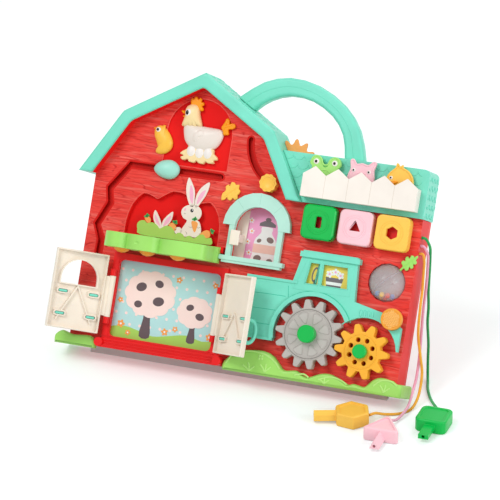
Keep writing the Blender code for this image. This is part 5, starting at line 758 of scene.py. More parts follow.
swell("hen_body", smooth(shares_to([
    (-0.5, 0.46), (-0.2, 0.48), (0.1, 0.47), (0.4, 0.44), (0.49, 0.3), (0.47, 0.02), (0.36, -0.28),
    (0.12, -0.47), (-0.16, -0.47), (-0.38, -0.27), (-0.49, 0.05),
], -73.7, 255, 48.2, 30), steps=6), 8, "pearl", rings=9)
swell("hen_head", smooth([
    (-99.4, 286.6), (-96.7, 291.1), (-91.2, 293.2), (-85.8, 292.5), (-83, 288.7), (-81, 281.1),
    (-77, 270.2), (-79.6, 268), (-82.3, 269), (-84.8, 266.8), (-88, 268), (-91, 266.2), (-94.2, 267.6),
    (-97, 266.2), (-101.2, 267), (-100.6, 272), (-99.3, 278.8),
], steps=5), 8.4, "straw", rings=8, centre=(-90.5, 279.5), power=2.6)
swell("chick_figure", smooth([
    (-133, 259.7), (-131, 262.6), (-127.4, 264), (-124.3, 264.2), (-123.4, 265), (-120.6, 264.8),
    (-120.9, 262.5), (-115.5, 257.3), (-110.8, 250.7), (-108.9, 244.9), (-109.9, 238.6), (-114.9, 233.3),
    (-121, 231.3), (-126.4, 231.8), (-128.2, 234.3), (-126, 235.2), (-125.3, 237.2), (-127, 240.8),
    (-129.4, 246), (-132.2, 251), (-133.2, 255.8),
]), 6.4, "chick", rings=8, centre=(-118.5, 247.5))
swell("egg_slider", smooth([
    (-126.2, 214.3), (-123.4, 220), (-116.3, 224.6), (-107.6, 226.2), (-100.6, 224), (-95.4, 218.7),
    (-95.6, 211.4), (-101, 205.4), (-108.6, 203.8), (-117.5, 205.8), (-123.6, 209.8),
]), 8, "egg", base=-2, rings=9, power=2)

tube("hen_feathers", [
    [(-51.5, -2.6, 270.6), (-48.6, -3, 275.8), (-47.4, -2.4, 279.6)],
    [(-51.5, -2.6, 270.6), (-46, -3, 273.2), (-41.6, -2.4, 274.8)],
    [(-51.5, -2.6, 271), (-49.2, -3, 267.6), (-48.4, -2.4, 264.8)],
], 2.2, "orange")
dome("hen_feather_ends", [
    (-47.4, -2.4, 279.8, 2.3, 2.2, 2.3), (-41.4, -2.4, 274.9, 2.3, 2.2, 2.3),
    (-48.4, -2.4, 264.6, 2.3, 2.2, 2.3),
], "orange")
pillow("hen_wing", smooth([
    (-84.4, 258.3), (-80.3, 262.7), (-76, 264.6), (-71.1, 263), (-69.6, 260), (-72.6, 256.9),
    (-76.6, 255.6), (-76.8, 252.4), (-80, 249.8), (-83.9, 251.8),
]), -6.6, 2.3, "pearl")
dome("hen_eggs", [
    (-84.4, -3.4, 239.4, 5.9, 2.6, 7.2), (-74.3, -3.4, 238.6, 6, 2.6, 7.2),
    (-64.3, -3.4, 239.2, 5.9, 2.6, 7.2),
], "white")
dome("hen_eye_white", [(-93.6, -7.2, 282.3, 4.3, 1.9, 4.6)], "white")
dome("hen_pupil", [(-94.9, -8.6, 282.2, 2, 0.9, 2.7)], "black")
beak("hen_beak_upper", [
    (-104.4, 284.4), (-101.4, 284.6), (-98.2, 283.4), (-98, 280.4), (-101.2, 280.6), (-103.2, 282),
], 5.2)
beak("hen_beak_lower", [(-102.2, 278), (-99.6, 279.2), (-98, 277.6), (-99.6, 276)], 4.2)
dome("chick_eye_white", [(-127.5, -5.2, 258.6, 2.9, 1.5, 2.8)], "white")
dome("chick_pupil", [(-127.8, -6.3, 258.6, 1.7, 0.8, 1.7)], "black")
beak("chick_beak", [(-134.6, 260.4), (-131.2, 261.6), (-130.6, 258.8), (-132.6, 258.2)], 3.6)


# painted highlights: pale red lines, slightly raised, along the edges of the arch and the bush recess

HIGHLIGHT_LINE_Y = -0.02
line_relief("arch_highlight", [(-118.6, 221.4), (-118.6, 261), *bow(-79, 261, 39.6, 180, 0, 30), (-39.4, 261),
                         (-39.4, 221.4)], HIGHLIGHT_LINE_Y, 0.4, "highlight_red", closed=True)
line_relief("bush_highlight", smooth(shares_to([
    (-0.5, 0), (-0.5, 0.3), (-0.46, 0.62), (-0.36, 0.86), (-0.24, 0.82), (-0.19, 0.8), (-0.05, 0.97),
    (0.1, 0.94), (0.22, 0.8), (0.36, 0.86), (0.47, 0.62), (0.5, 0.3), (0.5, 0),
], -94, 131.7, 114.4, 61.7), False), HIGHLIGHT_LINE_Y, 0.34, "highlight_red")


# printed rabbits, carrots and bush on the card

PRINT_LAYER = 0.09


def printed(name, loop, y, look, layer=1, steps=3, depth=0.02):
    """A printed area in front of a card at depth y, rounded through its points unless steps is 1."""
    return relief(name, [smooth(loop, steps=steps)], y - PRINT_LAYER * layer, y + depth, look, edge=0.02,
                  steps=1)


def on_card(name, look, layer, loop):
    """Part of the card that is cut out in the shape of its print."""
    return printed(name, loop, CARD_Y, look, layer, depth=CARD_THICKNESS)


def inked(name, look, layer, loop):
    return printed(name, loop, CARD_Y, look, layer)


CARD_Y = -1.6
CARD_THICKNESS = 1.2
on_card("rabbit_print", "card_fur", 2, [
    (-85.4, 168.5), (-84.3, 173.8), (-79.5, 177.6), (-73.2, 179.2), (-67.7, 178.7), (-62.8, 175.3),
    (-61, 169.9), (-62.6, 164.5), (-65, 162.6), (-61.9, 160.5), (-59.3, 154.7), (-58.4, 149.7),
    (-59.3, 145.4), (-65.3, 142.5), (-71.5, 143.7), (-76.7, 141.9), (-82.8, 146.2), (-79.8, 153.9),
    (-77.1, 160.4), (-81.9, 162.8),
])
on_card("rabbit_tail", "card_fur", 2, ellipse(-85.6, 147.4, 4.4, 4.2))
on_card("rabbit_ear_left", "card_fur", 2, [
    (-82.9, 209.2), (-79.6, 206), (-76.6, 201.4), (-73.7, 195.9), (-72.3, 187.9), (-71.7, 178),
    (-75.9, 177), (-80.9, 185.7), (-83.5, 193.5), (-84.2, 201.7),
])
on_card("rabbit_ear_right", "card_fur", 2, [
    (-57.2, 207), (-57.4, 199.1), (-60, 190.6), (-64.1, 182.8), (-67.7, 176.7), (-70.6, 178),
    (-70.9, 188.1), (-68.1, 196.7), (-62.9, 203.3),
])
inked("rabbit_inner_left", "card_ear", 3, [
    (-79, 201.4), (-75.5, 195.7), (-73.8, 187.7), (-73.6, 180), (-76.8, 184.1), (-79.2, 192.1),
])
inked("rabbit_inner_right", "card_ear", 3, [
    (-60.6, 197.7), (-61.7, 191.4), (-64.9, 184.8), (-68.4, 180.3), (-68.3, 187.5), (-65.3, 194),
])
on_card("small_ear_left", "card_fur", 2, [
    (-116.9, 167), (-112.3, 161.7), (-107.7, 154.1), (-106.4, 149.6), (-107.5, 145.8), (-113.1, 150.2),
    (-117.1, 155.8), (-118.1, 161.9),
])
on_card("small_ear_right", "card_fur", 2, [
    (-95.4, 168), (-95.2, 161), (-97.4, 154.5), (-101, 150.3), (-106, 147.2), (-105.9, 155.4),
    (-102.8, 160.9), (-99.2, 165.1),
])
inked("small_inner_left", "card_ear", 3, [
    (-116.1, 162.3), (-111.9, 156.6), (-108, 149.9), (-112.3, 152.4), (-115.5, 157.1),
])
inked("small_inner_right", "card_ear", 3, [
    (-96.8, 163.4), (-97.7, 156.5), (-101.3, 151.9), (-104.4, 149.9), (-103.2, 155.7), (-100.5, 160.2),
])
for number, loop in enumerate([
    [(-128.2, 157.4), (-123.6, 158.6), (-120.4, 155.4), (-121.4, 151), (-125.6, 152.6)],
    [(-98.2, 152.6), (-94.2, 155.6), (-90.2, 153.4), (-87.6, 149), (-90.8, 146.4), (-95.4, 150.8)],
    [(-60.4, 146), (-54.4, 151.8), (-49.6, 152.6), (-46.8, 149.2), (-47.8, 144.8), (-53.2, 144)],
]):
    on_card(f"carrot_print_{number}", "card_orange", 2, loop)
inked("carrot_held", "card_orange", 4, [
    (-71.4, 159.8), (-67.6, 161), (-63.8, 159.4), (-63.6, 155.6), (-65.4, 148.4), (-68.4, 151.6),
])
for number, (x, z, turn) in enumerate([(-125.9, 159, 24), (-91, 156.4, -24), (-45.4, 152.4, -62),
                                       (-68, 163.2, 10)]):
    on_card(f"carrot_top_{number}", "card_leaf", 4, ellipse(x, z, 3.4, 1.5, turn))
    on_card(f"carrot_leaf_{number}", "card_leaf", 4, ellipse(x + 0.4, z + 0.5, 1.4, 2.6, turn - 20))
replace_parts(on_card("bush_print", "card_green", 3, [
    (-130.1, 137), (-134.9, 143), (-136, 148.5), (-133.3, 152.3), (-128, 153.6), (-124.2, 151),
    (-117.9, 152.6), (-112, 150.4), (-107.6, 146.8), (-102.2, 150.7), (-95.7, 151.1), (-90.7, 147.2),
    (-88.6, 143.4), (-83.9, 145.6), (-78.6, 143.7), (-76.5, 140.9), (-71.6, 143.7), (-65.3, 141.6),
    (-60, 146), (-54.8, 147.2), (-50.9, 143.6), (-45.4, 144.9), (-43.4, 141.6), (-43.2, 138.2),
    (-49.7, 136.6), (-90, 136.6),
]), "rabbit_card")
inked("rabbit_eye", "card_black", 4, ellipse(-72.9, 172.5, 1.9, 2.1))
inked("rabbit_glint", "card_white", 5, ellipse(-72.3, 173.2, 0.6, 0.6))
inked("rabbit_cheek", "card_ear", 4, ellipse(-81.2, 172.6, 0.9, 1.8, -15))
tube("rabbit_lines", [on_plane(line, CARD_Y - 0.4) for line in [
    [(-82, 168.4), (-80.8, 167.6), (-79.8, 168.2)],
    [(-73.6, 153.8), (-71, 153), (-69, 154.6)],
    [(-60.2, 154.8), (-62.4, 153.6), (-63.6, 155)],
    [(-76.6, 147.6), (-75, 146.8), (-74.6, 144.8)],
]], 0.16, "card_taupe", flat=(CARD_Y - 0.4, 0.4))


# pictures in the window, the doorway and the cab

def flower(kind, number, x, z, reach, petal, heart, turn, y, looks, layer):
    """Five petals, each (length, width), round a heart."""
    for index in range(5):
        angle = 72 * index + turn
        loop = ellipse(*polar(x, z, reach, angle), *petal, angle, 10)
        printed(f"{kind}_{number}_{index}", loop, y, looks[0], layer)
    printed(f"{kind}_heart_{number}", ellipse(x, z, heart, heart, 0, 10), y, looks[1], layer + 1)


WINDOW_Y = 11.4
printed("churn", [
    (2.6, 124), (1.6, 134), (1.8, 146), (3.4, 152.6), (7.6, 158), (9, 161.4), (9, 166.4), (21.6, 166.4),
    (21.6, 161.4), (23, 158), (27.2, 152.6), (28.8, 146), (29, 134), (28, 124),
], WINDOW_Y, "card_white", steps=2)
printed("churn_lid", [(5.6, 167.2), (5.6, 170.4), (11, 173.4), (19.6, 173.4), (25, 170.4), (25, 167.2)],
        WINDOW_Y, "card_grey", 2, steps=1)
printed("churn_knob", ellipse(15.3, 175, 3.4, 2.4), WINDOW_Y, "card_grey", 2)
printed("churn_band", [(1.9, 136.6), (1.6, 146.4), (29, 146.4), (28.8, 136.6)],
        WINDOW_Y, "card_peach", 3, steps=1)
for number, spot in enumerate([
    (8.6, 130.4, 4.6, 3.6, 10), (23.4, 128.6, 3.6, 3, 0),
    (20.8, 152.4, 4.4, 3.2, -20), (7.8, 150.4, 2.8, 2.2, 30),
]):
    printed(f"churn_spot_{number}", ellipse(*spot), WINDOW_Y, "card_taupe", 2)
for number, (x, z) in enumerate([(-4.6, 172), (-2.4, 160), (-5.6, 147.6), (-2.2, 135.4), (31.4, 168),
                                 (32.6, 154.6)]):
    flower("daisy", number, x, z, 1.9, (1.5, 1), 1.1, 18, WINDOW_Y, ("card_white", "card_orange"), 1)

DOOR_Y = 3.3


def fluffy(name, x, z, rx, rz, lobes, look, layer):
    """A cloud-like crown with a lobed edge."""
    line = []
    steps = lobes * 6
    for index in range(steps):
        angle = 2 * math.pi * index / steps
        reach = 1 + 0.085 * abs(math.sin(angle * lobes / 2)) ** 0.8
        line.append((x + rx * reach * math.cos(angle), z + rz * reach * math.sin(angle)))
    printed(name, line, DOOR_Y, look, layer, steps=1)


DOT_PITCH = 12.4
for row in range(7):
    for column in range(10):
        x = -146 + DOT_PITCH * (column + row % 2 / 2)
        printed(f"dot_{row}_{column}", ring(x, 21 + DOT_PITCH * row, 1.7, 12), DOOR_Y, "card_cloud")
printed("meadow", [
    (-151, 14), (-151, 27), (-134, 31), (-116, 28), (-98, 24), (-80, 27), (-58, 31), (-38, 27), (-22, 29),
    (-22, 14),
], DOOR_Y, "card_green", 2)
for name, x, low, high, half in (("trunk_big", -108, 22, 62, 4.2), ("trunk_small", -52, 24, 52, 3.2)):
    right = [(half * 1.5, low), (half, (low + high) / 2), (half * 0.9, high)]
    loop = [(x - width, z) for width, z in right] + [(x + width, z) for width, z in right[::-1]]
    printed(name, loop, DOOR_Y, "card_brown", 3)
fluffy("crown_big", -108, 71, 29, 25, 11, "card_cloud", 4)
fluffy("crown_small", -52, 58, 20, 17, 9, "card_cloud", 4)
for number, spot in enumerate([
    (-120, 78, 6.4, 5, 20), (-99, 84, 5.2, 4.2, -15), (-97, 64, 6.8, 5.2, 10), (-121, 58, 4.8, 4, 0),
    (-58, 63, 4.6, 3.6, 15), (-45, 54, 5.2, 4, -10),
]):
    printed(f"crown_patch_{number}", ellipse(*spot), DOOR_Y, "card_brown", 5)
for number, (x, z, size) in enumerate([(-138, 33, 4.6), (-84, 31, 4.2), (-72, 36, 3.4), (-30, 33, 4.4),
                                       (-143, 60, 3.2), (-76, 92, 3.6), (-32, 92, 3.4), (-128, 24, 3.4)]):
    flower("bloom", number, x, z, size * 0.55, (size * 0.48, size * 0.34), size * 0.28, 30 * number, DOOR_Y,
           ("card_orange", "card_white"), 5)

CAB_Y = -3
printed("bucket", [(99, 109), (96.6, 121), (117.4, 121), (115, 109)], CAB_Y, "card_grey", steps=1)
printed("bucket_band", [(98.2, 112.6), (97.6, 116), (116.4, 116), (115.8, 112.6)], CAB_Y, "card_white", 2,
        steps=1)
for number, (x, z) in enumerate([(100.6, 124.6), (107.2, 127.4), (113.6, 124.4)]):
    flower("bouquet", number, x, z, 2.4, (2, 1.5), 1.3, 20 * number, CAB_Y, ("card_white", "card_pink"), 2)
printed("wheel_rim", ellipse(84, 121.6, 3.6, 8.6, -8), CAB_Y, "card_grey")
printed("wheel_hole", ellipse(84, 121.6, 2, 6.4, -8), CAB_Y, "card_yellow", 2)
printed("wheel_column", [(83, 108), (83.4, 114), (85.6, 114), (86.4, 108)], CAB_Y, "card_grey", steps=1)


# tractor: vents, planks, folds and the headlight's honeycomb

def rim(name, loop, y, radius, look, body="board", share=0.9):
    """A raised line that closes on itself."""
    line_relief(name, loop, y, radius, look, body, True, share)


TRACTOR_Y = -8
GROOVE_Y = TRACTOR_Y - 0.02
GROOVE_RADIUS = 0.32
VENT_HALF_WIDTH, VENT_HALF_HEIGHT, VENT_CORNER = 1.3, 3.4, 1.2
GREY = (90.7, 54.3)
YELLOW = (153.9, 44.4)
for number, (x, z) in enumerate([(144.9, 86.6), (149.4, 86.8), (154, 87), (158.5, 86.8)]):
    line = rounded_box(x - VENT_HALF_WIDTH, x + VENT_HALF_WIDTH, z - VENT_HALF_HEIGHT, z + VENT_HALF_HEIGHT,
                       VENT_CORNER)
    relief(f"vent_{number}", [line], TRACTOR_Y - 0.6, TRACTOR_Y + 0.3, "mint")
    # A darker mint outline round the vent: painted shade in its groove.
    rim(f"vent_line_{number}", line, TRACTOR_Y - 0.05, 0.28, "groove_shade_mint", share=0.5)
# The planks' lines, the cab's fold and the fender's groove in a darker mint: painted shade in the grooves.
for number, line in enumerate([
    [(10.4, 91.6), (34, 92.3), (55.4, 92.3)], [(10.4, 74.9), (46.2, 75.2)], [(10.4, 58), (41.8, 58.2)],
]):
    line_relief(f"plank_{number}", line, GROOVE_Y, GROOVE_RADIUS, "groove_shade_mint")
line_relief("cab_fold", [(56.8, 104.6), (58.6, 92)], GROOVE_Y, GROOVE_RADIUS, "groove_shade_mint")
line_relief("fender_groove", bow(*GREY, 48.4, 178, 24, 40), GROOVE_Y, 0.35, "groove_shade_mint")
line_relief("yellow_arch_lip", bow(*YELLOW, 38.9, 158, 18, 30), TRACTOR_Y, 0.75, "mint")

LAMP_X, LAMP_Y, LAMP_Z = 182.2, -15, 85
CELLS_RADIUS = 9.2
LAMP_RING, HEADLIGHT_RING = 11, 10.6


def honeycomb(name, look, pitch, row_pitch, size, rings):
    """Staggered rows of small domes on the headlight."""
    cells = []
    for row in range(-5, 6):
        for column in range(-6, 7):
            x, z = pitch * (column + row % 2 / 2), row_pitch * row
            if math.hypot(x, z) < CELLS_RADIUS:
                cells.append((LAMP_X + x, LAMP_Y, LAMP_Z + z, *size))
    dome(name, cells, look, "headlight", 8, rings)


rim("lamp_ring", ring(LAMP_X, LAMP_Z, LAMP_RING, 40), LAMP_Y, 0.95, "lamp", "headlight", 0.8)
rim("headlight_ring", ring(LAMP_X, LAMP_Z, HEADLIGHT_RING, 40), LAMP_Y, 0.8, "lamp", "headlight", 0.8)
honeycomb("lamp_cells", "lamp", 1.75, 1.52, (0.78, 0.5, 0.78), 5)
# These cells are a lighter amber, painted highlights on the headlight's honeycomb.
honeycomb("headlight_cells", "lamp_highlight", 2.1, 1.82, (0.84, 0.6, 0.84), 4)


# fence seams and the three heads behind it

FENCE_Y = -22
FENCE_LEFT, PICKET_PITCH = 57, 26.8
SEAM_LOW, SEAM_HIGH = 206.6, 231.2
HEAD_Y = -14
HEAD_LOW, HEAD_MIDDLE = 226.8, 240
# The seams between the pickets are darker cream lines: painted shade in the seams.
for number in range(1, 5):
    x = FENCE_LEFT + PICKET_PITCH * number
    line_relief(f"fence_seam_{number}", [(x, SEAM_LOW), (x, SEAM_HIGH)], FENCE_Y + 0.08, 0.3, "groove_shade_cream")


def head_rim(name, shares, x, size, look, body):
    """A raised rim 1 mm inside the outline of a pop-up head."""
    line = []
    for point in smooth(shares_to(shares, x, HEAD_LOW, size, size), False, 5):
        inward = Vector((x, HEAD_MIDDLE)) - Vector(point)
        line.append(tuple(Vector(point) + inward / max(1, inward.length)))
    line_relief(name, line, HEAD_Y, 0.95, look, body, share=0.85)


head_rim("frog_rim", [
    (-0.42, 0), (-0.44, 0.24), (-0.42, 0.4), (-0.5, 0.52), (-0.44, 0.7), (-0.3, 0.76), (-0.16, 0.68),
    (-0.1, 0.54), (0, 0.5), (0.1, 0.54), (0.16, 0.68), (0.3, 0.76), (0.44, 0.7), (0.5, 0.52), (0.42, 0.4),
    (0.44, 0.24), (0.42, 0),
], 78.7, 36, "frog", "frog")
head_rim("pig_rim", [
    (-0.5, 0), (-0.46, 0.34), (-0.4, 0.56), (-0.44, 0.82), (-0.34, 0.86), (-0.22, 0.72), (0, 0.76),
    (0.22, 0.72), (0.4, 0.86), (0.48, 0.8), (0.42, 0.56), (0.46, 0.34), (0.5, 0),
], 121.7, 33, "pink", "pig")
head_rim("pop_chick_rim", [
    (-0.46, 0), (-0.5, 0.3), (-0.42, 0.56), (-0.24, 0.76), (-0.18, 0.84), (-0.16, 0.96), (-0.04, 0.84),
    (0.04, 0.92), (0.06, 0.82), (0.26, 0.74), (0.44, 0.54), (0.5, 0.28), (0.46, 0),
], 166.4, 32, "yellow", "pop_up_chick")
for number, (body, x, z, size) in enumerate([
    ("frog", 67.9, 247, 3.3), ("frog", 89.5, 247.2, 3.3), ("pig", 112.4, 243, 2.3),
    ("pig", 130.2, 242.6, 2.3), ("pop_up_chick", 156.4, 240.3, 2),
]):
    dome(f"head_eye_{number}", [(x, HEAD_Y, z, size, 1, size)], "white", body)
    dome(f"head_pupil_{number}", [(x - 0.2, HEAD_Y - 0.8, z, size * 0.48, 0.6, size * 0.52)], "black", body)
line_relief("frog_smile", [(76.4, 243.4), (77.6, 242.3), (79, 242), (80.4, 242.4), (81.4, 243.5)],
            HEAD_Y - 0.1, 0.4, "dark_leaf", "frog")
line_relief("frog_belly", bow(79, 229.4, 9.2, 155, 25, 14), HEAD_Y, 0.8, "frog", "frog")
rim("pig_snout", ellipse(121.6, 236.6, 6.2, 4.96, 0, 30), HEAD_Y, 0.9, "pink", "pig", 0.5)
beak("pop_chick_beak", [(154.8, 234.4), (160, 237.2), (165.4, 236.6), (161.4, 233.4), (156.4, 232.6)],
     1.6, HEAD_Y, "pop_up_chick", SLOT_OF["pop_up_chick"])


# joints of the window's arch, the ball's seam and beads

WINDOW_FRONT = -8
ARCH_CENTRE = (8.3, 163)
ARCH_INSIDE, ARCH_OUTSIDE = 26.6, 39.2
# Darker lines at the arch's joints: painted shade in them.
for number, angle in enumerate((47, 90, 133)):
    joint = [polar(*ARCH_CENTRE, radius, angle) for radius in (ARCH_INSIDE, ARCH_OUTSIDE)]
    line_relief(f"arch_joint_{number}", joint, WINDOW_FRONT + 0.1, 0.28, "groove_shade_pale")

BALL_X, BALL_Y, BALL_Z = 166.6, 6, 124.6
BALL_RADIUS = 21.6
BEAD_RADIUS = 3
SLANT = 0.707
for number, (look, x, y, z) in enumerate([
    ("bead_red", 4.2, -9.6, -14.2), ("bead_yellow", -2.2, -10.6, -13.8), ("bead_blue", -8, -8, -13.2),
    ("bead_red", 0.6, -4.6, -16.6), ("bead_blue", 8.4, -5, -14.4), ("bead_yellow", -5.2, -1, -16.6),
]):
    bead = (BALL_X + x, BALL_Y + y, BALL_Z + z, BEAD_RADIUS, BEAD_RADIUS, BEAD_RADIUS)
    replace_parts(dome(f"bead_{number}", [bead], look, "rattle_ball", 16, 10), "rattle_beads")
seam = [(BALL_X + a * SLANT, BALL_Y - b, BALL_Z + a * SLANT) for a, b in ring(0, 0, BALL_RADIUS, 60)]
tube("ball_seam", [seam], 0.22, "clear_line", "rattle_ball", closed=True)


# gears

GEAR_FRONT, GEAR_BACK = -16, -3.5
GEAR_BORE = 4.4
GREY_TEETH, YELLOW_TEETH = 14, 10
GREY_TURN = 100.9
MESH_LINE = math.degrees(math.atan2(YELLOW[1] - GREY[1], YELLOW[0] - GREY[0]))
PHASE = (GREY_TURN - MESH_LINE) * GREY_TEETH / 360 % 1
YELLOW_TURN = MESH_LINE + 180 + (0.5 - PHASE) * 360 / YELLOW_TEETH


def toothed(x, z, teeth, tip, root, turn):
    """A gear's outline; each tooth's flank is given in shares of the pitch from the middle of the tooth."""
    flank = [(0.09, tip), (0.155, tip - 0.9), (0.24, (root + tip) / 2), (0.36, root)]
    profile = [(-share, radius) for share, radius in flank[::-1]] + flank
    return [polar(x, z, radius, turn + (tooth + share) * 360 / teeth) for tooth in range(teeth)
            for share, radius in profile]


def wheel(node, loops, centre, look, edge):
    loops.insert(1, ring(*centre, GEAR_BORE, 20))
    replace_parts(relief(node + "_wheel", loops, GEAR_FRONT, GEAR_BACK, look, node, edge), node)


wheel("gear_grey", [toothed(*GREY, GREY_TEETH, 39, 30, GREY_TURN)], GREY, "grey", 1)
rim("grey_ring_outer", ring(*GREY, 28.6, 56), GEAR_FRONT, 0.55, "grey", "gear_grey")
rim("grey_ring_inner", ring(*GREY, 26.4, 56), GEAR_FRONT, 0.55, "grey", "gear_grey")
# A darker ring between the two rings: painted shade in the groove.
rim("grey_ring_groove", ring(*GREY, 27.5, 56), GEAR_FRONT + 0.05, 0.35, "groove_shade_grey", "gear_grey", 0.5)
for number in range(8):
    middle = 45 * (number + 0.5)
    window = smooth([polar(*GREY, radius, middle + angle) for radius, angle in (
        (23.8, -12), (24.6, 0), (23.8, 12), (21.4, 13.5), (14, 5.5), (12.6, 0), (14, -5.5), (21.4, -13.5))])
    relief(f"grey_window_{number}", [window], GEAR_FRONT - 0.12, GEAR_FRONT + 0.1, "grey_light",
           "gear_grey", 0.05)
    rim(f"grey_window_rim_{number}", window, GEAR_FRONT - 0.05, 0.5, "grey", "gear_grey", 1.1)
    # A darker outline round each window: painted shade.
    rim(f"grey_window_line_{number}", window, GEAR_FRONT + 0.02, 0.62, "groove_shade_grey", "gear_grey", 0.3)
YELLOW_HOLES = [ring(*polar(*YELLOW, 13.5, 45 * (number + 0.5)), 2.7, 16) for number in range(8)]
wheel("gear_yellow", [toothed(*YELLOW, YELLOW_TEETH, 31, 22.3, YELLOW_TURN)] + YELLOW_HOLES, YELLOW,
      "gear_yellow", 0.8)
rim("yellow_ring", ring(*YELLOW, 19.2, 48), GEAR_FRONT, 0.6, "gear_yellow", "gear_yellow")


# shingles on the roofs

def scallops(name, to_board, rows, columns, pitch, row_pitch, radius, fits, stroke):
    """Rows of U-shaped shingle ends; to_board turns (across, down) into a board point."""
    lines = []
    for row in range(rows):
        for column in range(-1, columns + 1):
            across = pitch * (column + row % 2 / 2)
            spots = [(across + a, row_pitch * row + b * 0.9) for a, b in bow(0, 0, radius, 0, 180)]
            for inside, run in groupby(spots, lambda spot: fits(*spot)):
                run = [to_board(*spot) for spot in run]
                if inside and len(run) > 2:
                    lines.append(run)
    tube(name, lines, stroke, "mint", steps=2)


def annex_fits(across, down):
    x, z = 20 + across, 252 - down
    return 52.1 + (206.7 - z) * 0.576 + 1.2 < x < 190.5 and 201.2 < z < 252.6


def slope_shingles(name, side, top, bottom, rows):
    """Shingles on one slope of the main roof, from its top to its bottom edge, both right of the ridge."""
    length = math.dist(top, bottom)
    step_x, step_z = [(b - a) / length for a, b in zip(top, bottom)]

    def on_slope(across, down):
        down += FIRST_ROW
        return (RIDGE_X + side * (top[0] + step_x * down), ROOF_FRONT + across, top[1] + step_z * down)

    def fits(across, down):
        under_handle = side > 0 and 17.5 < across < 27
        return 1 < across < 46 and 0 < down < length - 4 and not under_handle

    scallops(name, on_slope, rows, 4, 11.6, 10.2, 5.4, fits, 0.6)


RIDGE_X = -78
ROOF_FRONT = -9
FIRST_ROW = 2
RIDGE = (0, 312.5 + 14.5 / 0.855)
KINK = (90.55, 274.15)
EAVE = (130.07, 206.74)
scallops("annex_shingles", lambda across, down: (20 + across, -6, 252 - down), 6, 16, 12.2, 10, 5.9,
         annex_fits, 0.55)
scallops("annex_side_shingles", lambda across, down: (198, -1 + across, 249 - down), 5, 4, 12.4, 10.4, 6,
         lambda across, down: 1.5 < across < 37.5 and 202 < 249 - down < 248, 0.8)
for side, word in ((-1, "left"), (1, "right")):
    slope_shingles("upper_shingles_" + word, side, RIDGE, KINK, 10)
    slope_shingles("lower_shingles_" + word, side, KINK, EAVE, 7)

line_relief("handle_seam", smooth(shares_to([
    (-0.65, 0.52), (-0.505, 0.655), (-0.305, 0.81), (-0.035, 0.895), (0.285, 0.855), (0.585, 0.69),
    (0.775, 0.46), (0.86, 0.18),
], 18.75, 240.8, 98, 98), False, 8), 9.55, 0.55, "mint", share=0.8)


# slots: channels and their sunk lips, in a darker red that paints the shade in them

TRACK = [(-45.8, 215), (-155.9, 215)] + shares_to([
    (-0.198, 0.283), (-0.164, 0.438), (-0.277, 0.684), (-0.205, 0.842), (-0.21, 1),
], -155.9, 215, 106.4, -106.4)
SUN_TRACK = (35.5, 263.5, 52.5)
KNOB_ANGLE = 246.3
KNOB_FRONT, BLOCK_FRONT = -11, -14
BED_Y, BED_HALF_WIDTH, BED_SHARE = 5.7, 5.6, 0.06
LIP_RADIUS, LIP_SHARE = 1.15, 0.16


def beside(line, distance):
    """An open line moved sideways."""
    moved = []
    for index, (x, z) in enumerate(line):
        before = Vector(line[max(0, index - 1)])
        after = Vector(line[min(len(line) - 1, index + 1)])
        along = (after - before).normalized()
        moved.append((x - along.y * distance, z + along.x * distance))
    return moved


def round_end(line, half):
    """The half circle past the end of a line."""
    end = Vector(line[-1])
    along = (end - Vector(line[-2])).normalized()
    across = Vector((-along.y, along.x))
    return [tuple(end + along * b + across * a) for a, b in bow(0, 0, half, 30, 150, 4)]


def lip(name, line, half):
    """A sunk edge round a slot, drawn as a band of darker red that paints its shade: its line on both sides,
    joined round the ends.
    """
    loop = (beside(line, half) + round_end(line, half)
            + beside(line, -half)[::-1] + round_end(line[::-1], half))
    rim(name, loop, 0, LIP_RADIUS, "slot_shade_red", share=LIP_SHARE)


# The channels' beds in the darker red: painted shade inside the slots.
line_relief("track_bed", TRACK, BED_Y, BED_HALF_WIDTH, "slot_shade_red", share=BED_SHARE)
line_relief("sun_track_bed", bow(*SUN_TRACK, 176, 252, 20), BED_Y, BED_HALF_WIDTH, "slot_shade_red",
            share=BED_SHARE)
lip("track_lip", [TRACK[0], (-100, 215), *TRACK[1:]], 4.2)
lip("sun_track_lip", bow(*SUN_TRACK, 181.5, KNOB_ANGLE, 20), 3.7)
rim("knob_rim", ring(*polar(*SUN_TRACK, KNOB_ANGLE), 7.4, 36), KNOB_FRONT, 0.75, "yellow",
    BODY_OF["sun_knob"], 0.7)


# lock blocks and the cab's glazing frame

BLOCK_PLACES = {"green": 81, "pink": 124, "yellow": 167}
BLOCK_MIDDLE = 179.5
BLOCK_RINGS = (13.4, 11)
for colour, x in BLOCK_PLACES.items():
    for number, radius in enumerate(BLOCK_RINGS):
        rim(f"block_ring_{colour}_{number}", ring(x, BLOCK_MIDDLE, radius, 44), BLOCK_FRONT, 0.42, colour)

GLAZING_FRONT, GLAZING_BACK = -8.35, -3.5
PANE_RIM_Y = GLAZING_FRONT - 0.05
PANES = {
    "left": [(75.3, 110), (78.4, 134.4), (90, 134.4), (90.4, 110)],
    "right": [(93.8, 110), (93.6, 134.4), (122.6, 134.4), (125.2, 110)],
}
relief("glazing_frame", [[(62.6, 102.2), (128.9, 102.2), (128.9, 135.4), (73.8, 135.4)], *PANES.values()],
       GLAZING_FRONT, GLAZING_BACK, "mint", edge=0.35)
for name, corners in PANES.items():
    rim("pane_rim_" + name, corners, PANE_RIM_Y, 0.75, "mint")


# leaves and a flower pressed into the grass

